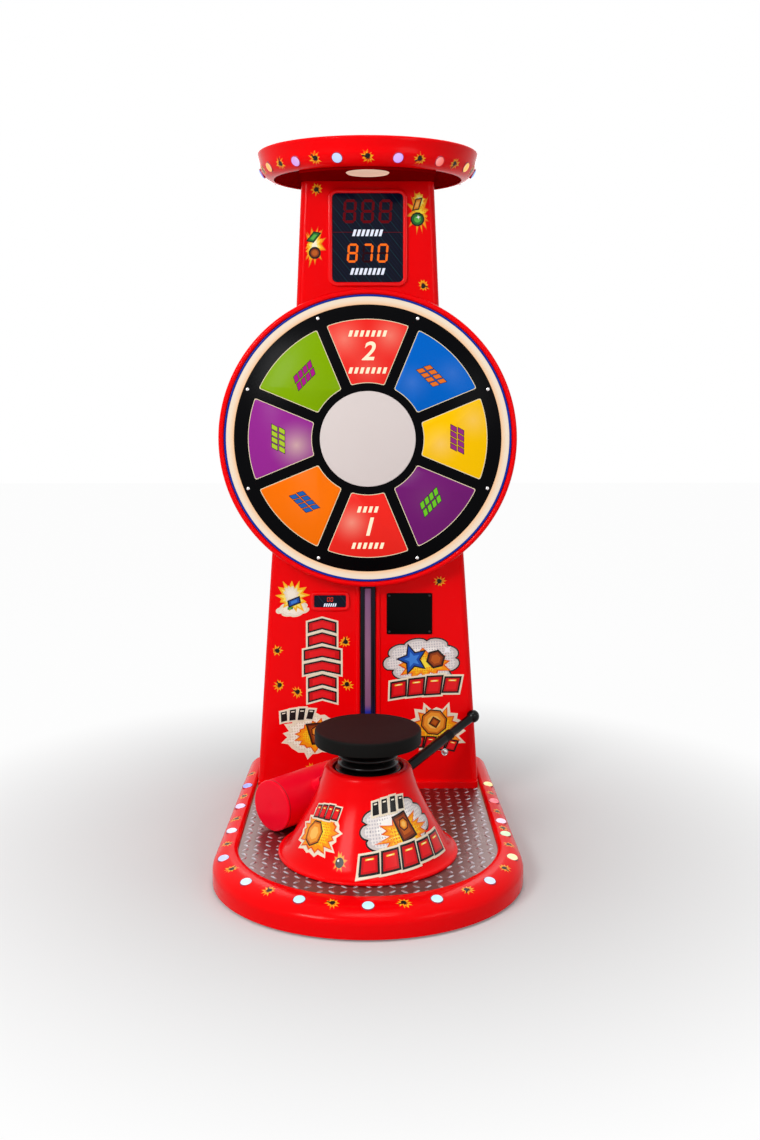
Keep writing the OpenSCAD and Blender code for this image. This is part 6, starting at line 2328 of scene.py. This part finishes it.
@dataclass(frozen=True)
class Prints:
    """Every printed film of the machine: generic bursts, clouds, stars, chevrons and sparks."""

    base: Base
    striker: Striker
    cabinet: Cabinet
    canopy: Canopy
    wheel: Wheel

    def on_cabinet(self, piece: Piece) -> None:
        """Lays the films of the cabinet's front.

        Args:
            piece: Finished piece that they lie on.
        """
        skin, films = Skin(piece), Films("prints_cabinet", 0.02)

        def spot(x: float, z: float, turn: float = 0.0) -> Surface:
            """Patch on the front."""
            return skin.patch(Vector((x, self.cabinet.front, z)), Vector((0, -1, 0)), UP, turn)

        arrows = [(chevron(0.114 if i in (2, 3) else 0.086, 0.026, 0.012), (0.0, 0.122 - 0.0475 * i, 0.0))
                  for i in range(6)]
        films.lay(spot(-0.154, 0.503), bordered(arrows, Ink.RED, 0.0055, 0.006))
        films.lay(spot(0.187, 0.478, 5), [
            *edged(scalloped(0.280, 0.168, 9, 3), Ink.CLOUD, 0.0, 0.026, line=0.0045),
            Layer(spiked(0.216, 0.128, 12, 0.42, 5), Ink.FLAME, 0.004, 0.016),
            *edged(starred(0.047), Ink.BLUE, -0.034, 0.034, 12, line=0.005),
            *edged(sided(0.028, 6, 10), Ink.BROWN, 0.044, 0.028, line=0.005),
            Layer(starred(0.017, 4, 0.4, 40), Ink.WHITE, 0.086, 0.056),
            *bars_row(4, 0.046, 0.050, 0.060, Ink.RED, -0.060, 0.0016, line=0.006, border=0.006)])
        films.lay(spot(0.233, 0.270, -6), [
            Layer(spiked(0.226, 0.206, 15, 0.30, 11), Ink.CREAM),
            Layer(spiked(0.190, 0.172, 15, 0.34, 11), Ink.FLAME),
            *edged(sided(0.042, 8, 22.5), Ink.AMBER, -0.012, 0.022, line=0.004),
            *edged(sided(0.017, 4, 20), Ink.BROWN, -0.010, 0.022, line=0.003),
            *bars_row(4, 0.026, 0.034, 0.037, Ink.RED, -0.048, 0.0012, line=0.005, border=0.0)])
        films.lay(spot(-0.184, 0.262, 5), [
            Layer(spiked(0.244, 0.176, 17, 0.26, 21), Ink.CREAM, 0.0, -0.012),
            Layer(spiked(0.176, 0.124, 15, 0.36, 23), Ink.FLAME, 0.006, -0.014),
            *edged(slanted(0.046, 0.066, -0.2), Ink.BROWN, 0.010, -0.008, line=0.0045),
            *edged(sided(0.016, 6, 30), Ink.AMBER, 0.010, 0.000, line=0.003),
            *bars_row(4, 0.021, 0.036, 0.030, Ink.BLACK, 0.064, 0.0016, -0.050, line=0.0, border=0.006)])
        films.lay(spot(-0.253, 0.715, 8), [
            Layer(scalloped(0.118, 0.060, 7, 9), Ink.CREAM, -0.004, -0.034),
            Layer(spiked(0.122, 0.132, 13, 0.46, 31), Ink.GLOW, 0.0, 0.006),
            Layer(spiked(0.066, 0.070, 11, 0.36, 33), Ink.CREAM, -0.002, 0.018),
            *edged(slanted(0.036, 0.015, 0.2), Ink.BLUE, 0.004, -0.010, 14, line=0.0045),
            Layer(slanted(0.018, 0.008, 0.2), Ink.GREEN, -0.012, -0.030)])
        films.lay(spot(-0.178, 1.888, -12), [
            Layer(spiked(0.098, 0.178, 12, 0.54, 41), Ink.FLAME),
            Layer(spiked(0.060, 0.110, 10, 0.44, 43), Ink.GLOW, 0.002, 0.004),
            *edged(sided(0.015, 12), Ink.BROWN, 0.008, -0.020, line=0.005),
            *edged(slanted(0.018, 0.030, 0.5), Ink.GREEN, -0.006, 0.030, line=0.0035)])
        films.lay(spot(0.168, 1.998, 10), [
            Layer(spiked(0.104, 0.184, 12, 0.54, 51), Ink.FLAME),
            Layer(spiked(0.050, 0.070, 9, 0.46, 53), Ink.GLOW, 0.010, 0.040),
            *edged(sided(0.018, 12), Ink.GREEN, -0.008, -0.020, line=0.005),
            *edged(slanted(0.016, 0.030, 0.5), Ink.AMBER, 0.000, 0.028, line=0.0035),
            Layer(starred(0.008, 4, 0.35), Ink.WHITE, -0.004, -0.014)])
        small = [(-0.3067, 0.5409), (-0.0775, 0.569), (-0.2997, 0.4205), (-0.2378, 0.3967), (-0.0701, 0.4223),
                 (0.2413, 0.774), (-0.1926, 0.1356), (-0.1671, 2.075), (0.1842, 1.7608)]
        for number, (x, z) in enumerate(small):
            films.lay(spot(x, z, 37 * number), spark(0.044, 60 + number))
        films.finish()

    def on_cone(self, piece: Piece) -> None:
        """Lays the films of the cone.

        Args:
            piece: Finished piece that they lie on.
        """
        skin, films, axis = Skin(piece), Films("prints_cone", 0.006), self.striker.axis
        films.lay(skin.wrap(axis, 0.190, 31.0, 0.180, 4), [
            *edged(scalloped(0.276, 0.138, 9, 13), Ink.CLOUD, -0.002, 0.016, line=0.0045),
            Layer(spiked(0.216, 0.104, 13, 0.44, 71), Ink.FLAME, 0.012, -0.002),
            *edged(slanted(0.046, 0.062, -0.1), Ink.BROWN, 0.014, 0.012, 8, line=0.0045),
            *edged(sided(0.014, 6, 12), Ink.AMBER, 0.014, 0.018, line=0.003),
            *bars_row(4, 0.022, 0.036, 0.033, Ink.BLACK, 0.074, 0.0012, -0.022, line=0.0, border=0.0055),
            *bars_row(5, 0.038, 0.042, 0.052, Ink.RED, -0.056, 0.0012, line=0.0052, border=0.0052)])
        films.lay(skin.wrap(axis, 0.190, -48.0, 0.176, 6), [
            Layer(spiked(0.196, 0.146, 17, 0.28, 81), Ink.CREAM, 0.0, -0.004),
            Layer(spiked(0.174, 0.126, 17, 0.34, 81), Ink.FLAME, 0.0, -0.004),
            *edged(sided(0.030, 7, 12), Ink.AMBER, -0.016, -0.010, line=0.0035),
            *bars_row(4, 0.019, 0.030, 0.028, Ink.RED, 0.046, 0.0010, 0.010, line=0.0036, border=0.0036)])
        films.lay(skin.wrap(axis, 0.226, -21.0, 0.116, 10), [
            Layer(spiked(0.050, 0.062, 10, 0.5, 91), Ink.FLAME),
            Layer(sided(0.0125, 18), Ink.BLACK, 0, -0.003),
            Layer(sided(0.003, 10), Ink.WHITE, -0.004, 0.002)])
        films.finish()

    def on_rim(self, piece: Piece) -> None:
        """Lays the small sparks between the lamps of the base.

        Args:
            piece: Finished piece that they lie on.
        """
        skin, films = Skin(piece), Films("prints_rim", 0.008)
        spots = [self.base.nose_spot(t, 0.44) for t in (-66, -39.5, -13, 13, 39.5, 66)]
        spots += [self.base.side_spot(-1, s, 0.5) for s in (0.02, 0.27, 0.52, 0.80)]
        spots += [self.base.side_spot(1, s, 0.5) for s in (0.0, 0.165, 0.34, 0.55)]
        for number, (at, facing) in enumerate(spots):
            films.lay(skin.patch(at, facing, Vector((0, 1, 0)), 53 * number), spark(0.044, 100 + number))
        films.finish()

    def on_canopy(self, piece: Piece) -> None:
        """Lays the small sparks between the lamps of the canopy.

        Args:
            piece: Finished piece that they lie on.
        """
        skin, films = Skin(piece), Films("prints_canopy", 0.008)
        for number, angle in enumerate((-76.2, -51.9, -27.6, 0, 27.6, 51.9, 76.2)):
            films.lay(skin.hoop(self.canopy, angle, 30, 41 * number), spark(0.050, 130 + number))
        films.finish()

    def on_wheel(self) -> None:
        """Lays the lit marks on the panes: two plain numbers and rows of slanted bars."""
        marks, front = [], self.wheel.face
        plans = tally(4, 0.0145, 0.0180, 0.0205, 0.55)
        for turn, ink in ((45, Ink.LIT_ORANGE), (90, Ink.LIT_PURPLE), (135, Ink.LIT_GREEN),
                          (225, Ink.LIT_BLUE), (270, Ink.LIT_LIME), (315, Ink.LIT_VIOLET)):
            spin = self.wheel.place @ Matrix.Rotation(-radians(turn), 4, "Z")
            for x, y in ((0.006, 0.305), (-0.004, 0.281)):
                place = spin @ upright(x, y, 0)
                marks.append(prisms("mark_line", [outset(plan, 0.0018) for plan in plans], front - 0.0004,
                                    front + 0.0002, place, Ink.BLACK))
                marks.append(prisms("mark_bar", plans, front - 0.0004, front + 0.0004, place, ink))
        for text, sign, above, below in (("2", 1, 7, 7), ("1", -1, 4, 6)):
            place = self.wheel.place @ upright(0, sign * 0.288 - 0.004, front - 0.0002)
            marks.append(self.numeral(text, 0.062, place))
            for y, count in ((0.060, above), (-0.060, below)):
                marks.append(prisms("mark_row", tally(count, 0.0105, 0.020, 0.0185), 0.0, 0.0006,
                                    place @ upright(0, y, 0), Ink.LIT_CREAM))
        dress(merged("wheel_marks", *marks), None)

    def on_display(self) -> None:
        """Lays rows of plain white bars on both displays, under the figures."""
        rows = []
        for x, z, count, size in ((0.0, 1.932, 7, 1.0), (0.0, 1.806, 8, 1.0), (-0.127, 0.6955, 6, 0.5)):
            plans = tally(count, 0.0090 * size, 0.0215 * size, 0.0145 * size)
            rows.append(prisms("display_bars", plans, 0.0044, 0.0054,
                               facing_player(x, self.cabinet.front, z), Ink.LIT_WHITE))
        dress(merged("display_marks", *rows), None)

    @staticmethod
    def numeral(text: str, height: float, place: Matrix) -> Piece:
        """Makes one plain slanted number as a mesh.

        Args:
            text: The number.
            height: Height of its figure.
            place: Where it lies.

        Returns:
            The number.
        """
        curve = bpy.data.curves.new("numeral", "FONT")
        curve.body = text
        curve.size = height * 1.35
        curve.shear = 0.25
        curve.extrude = 0.0003
        curve.offset = 0.0016
        curve.align_x = curve.align_y = "CENTER"
        mesh = plain_mesh(in_scene("numeral_curve", curve))
        mesh.transform(place @ upright(0, 0, curve.extrude))
        mesh.materials.clear()
        mesh.materials.append(Ink.LIT_CREAM.material)
        return in_scene(f"numeral_{text}", mesh)


@dataclass(frozen=True)
class Studio:
    """White room with soft lights, a pale floor and the camera of the photograph."""

    lens: float = 39.47
    eye: Point3 = (0.0, -3.808, 1.500)
    pitch: float = 4.0
    yaw: float = -0.56
    shift_y: float = -0.1035
    ambient: float = 0.36
    floor_half: float = 12
    fade_from: float = 0.55
    fade_span: float = 1.15

    @staticmethod
    def seen(nodes: Nodes) -> Socket:
        """1 for what the camera, glass and reflections see, and 0 for the light that is cast.

        Args:
            nodes: The nodes of the world or the material.

        Returns:
            The value.
        """
        path = nodes.add("ShaderNodeLightPath")
        seen = nodes.math("MAXIMUM", path.outputs["Is Camera Ray"], path.outputs["Is Transmission Ray"])
        return nodes.math("MAXIMUM", seen, path.outputs["Is Glossy Ray"])

    def world(self) -> None:
        """White to the eye and in reflections, but a plainer level for the light that it casts."""
        world = bpy.data.worlds.new("Studio air")
        bpy.context.scene.world = world
        world.use_nodes = True
        nodes = Nodes(world.node_tree)
        back = world.node_tree.nodes["Background"]
        nodes.put(back.inputs["Color"], WHITE)
        lift = nodes.times(self.seen(nodes), 1.0 - self.ambient)
        nodes.put(back.inputs["Strength"], nodes.math("ADD", lift, self.ambient))

    def floor(self) -> Piece:
        """Pale floor that fades into white away from the machine."""
        material = bpy.data.materials.new("Studio floor")
        material.use_nodes = True
        nodes, tree = Nodes(material.node_tree), material.node_tree
        shader = tree.nodes["Principled BSDF"]
        # Near the machine the floor is grey: partly painted shade round it, and partly a floor that casts
        # less light back. Further out it turns into white emission that blends into the backdrop.
        nodes.put(shader.inputs["Base Color"], (0.62, 0.62, 0.62, 1.0))
        nodes.put(shader.inputs["Roughness"], 0.7)
        nodes.put(shader.inputs["Specular IOR Level"], 0.1)
        share = nodes.share(nodes.away(nodes.place(), (0.0, 0.1, 0.0)), self.fade_from, self.fade_span)
        white = nodes.out("ShaderNodeEmission", {"Color": WHITE, "Strength": 1.0})
        fade = nodes.times(nodes.math("SMOOTH_MIN", share, 1.0, 0.2), self.seen(nodes))
        both = nodes.out("ShaderNodeMixShader", {0: fade, 1: shader.outputs[0], 2: white})
        nodes.put(tree.nodes["Material Output"].inputs["Surface"], both)
        mesh, h = bpy.data.meshes.new("studio_floor"), self.floor_half
        mesh.from_pydata([(-h, -h, 0), (h, -h, 0), (h, h, 0), (-h, h, 0)], [], [(0, 1, 2, 3)])
        mesh.materials.append(material)
        return in_scene("studio_floor", mesh)

    def light(self, name: str, at: Point3, aim: Point3, size: float, power: float) -> Piece:
        """Adds one large soft light.

        Args:
            name: Name of the light.
            at: Its place.
            aim: Point that it looks at.
            size: Side of its square face.
            power: Power in watts.

        Returns:
            The light.
        """
        data = bpy.data.lights.new(name, "AREA")
        data.size, data.energy = size, power
        lamp = in_scene(name, data)
        lamp.location = at
        lamp.rotation_euler = (Vector(aim) - Vector(at)).to_track_quat("-Z", "Y").to_euler()
        return lamp

    def camera(self) -> None:
        """Sets the camera where the photograph was taken from."""
        data = bpy.data.cameras.new("photo_camera")
        data.lens, data.shift_y = self.lens, self.shift_y
        camera = in_scene("photo_camera", data)
        camera.location = self.eye
        camera.rotation_euler = (radians(90 - self.pitch), 0.0, radians(self.yaw))
        bpy.context.scene.camera = camera

    def build(self) -> None:
        self.world()
        self.camera()
        self.floor()
        self.light("key_light", (-2.6, -3.4, 3.2), (0.0, 0.1, 1.0), 1.5, 128.0)
        self.light("fill_light", (2.8, -3.0, 2.2), (0.0, 0.1, 1.0), 1.5, 22.0)
        self.light("top_light", (0.0, -1.4, 6.2), (0.0, 0.2, 0.6), 2.4, 96.0)
        self.light("rear_light", (0.0, 3.4, 3.0), (0.0, 0.3, 1.0), 2.4, 38.0)
        bpy.context.scene.view_settings.view_transform = "Standard"


def dress_cad() -> None:
    """Gives every CAD node that is still shown the finish of its slot."""
    finishes = {
        "frame_steel": Shade.FRAME_STEEL, "foot_rubber": Shade.RUBBER, "deck_wood": Shade.WOOD,
        "post_steel": Shade.STEEL, "bush_brass": Shade.BRASS, "sensor_rubber": Shade.SENSOR,
        "shaft_chrome": Shade.CHROME, "panel_black": Shade.SATIN_BLACK, "lock_chrome": Shade.CHROME,
        "box_grey": Shade.BOX_GREY, "supply_aluminium": Shade.ALUMINIUM, "board_green": Shade.BOARD,
        "inlet_black": Shade.SATIN_BLACK, "switch_red": Shade.RED_TRIM, "backer_white": Shade.BACKER,
        "red_soffit": Shade.RED_SOFFIT_SHADED, "red_shell": Shade.RED_SHELL, "pad_rubber": Shade.PAD,
    }
    slots = {part["node"]: part["material_slot"] for part in frame["record"]["subparts"]}
    for name, node in frame["nodes"].items():
        if node.hide_render:
            continue
        finish = finishes.get(slots[name], Shade.SATIN_BLACK)
        node.data.materials.clear()
        node.data.materials.append(finish.material)
        LOG.info("%s: shown from the CAD with %s", name, finish.value.name)


def main() -> None:
    """Builds the machine, its decals and the studio."""
    logging.basicConfig(level=logging.INFO, format="%(message)s")
    Studio().build()
    base, striker, cabinet, wheel, canopy = Base(), Striker(), Cabinet(), Wheel(), Canopy()
    prints = Prints(base, striker, cabinet, canopy, wheel)
    prints.on_rim(base.build())
    prints.on_cone(striker.build())
    prints.on_cabinet(cabinet.build())
    prints.on_canopy(canopy.build())
    wheel.build()
    prints.on_wheel()
    Displays().build()
    prints.on_display()
    Mallet().build()
    dress_cad()


if __name__ == "__main__":
    main()
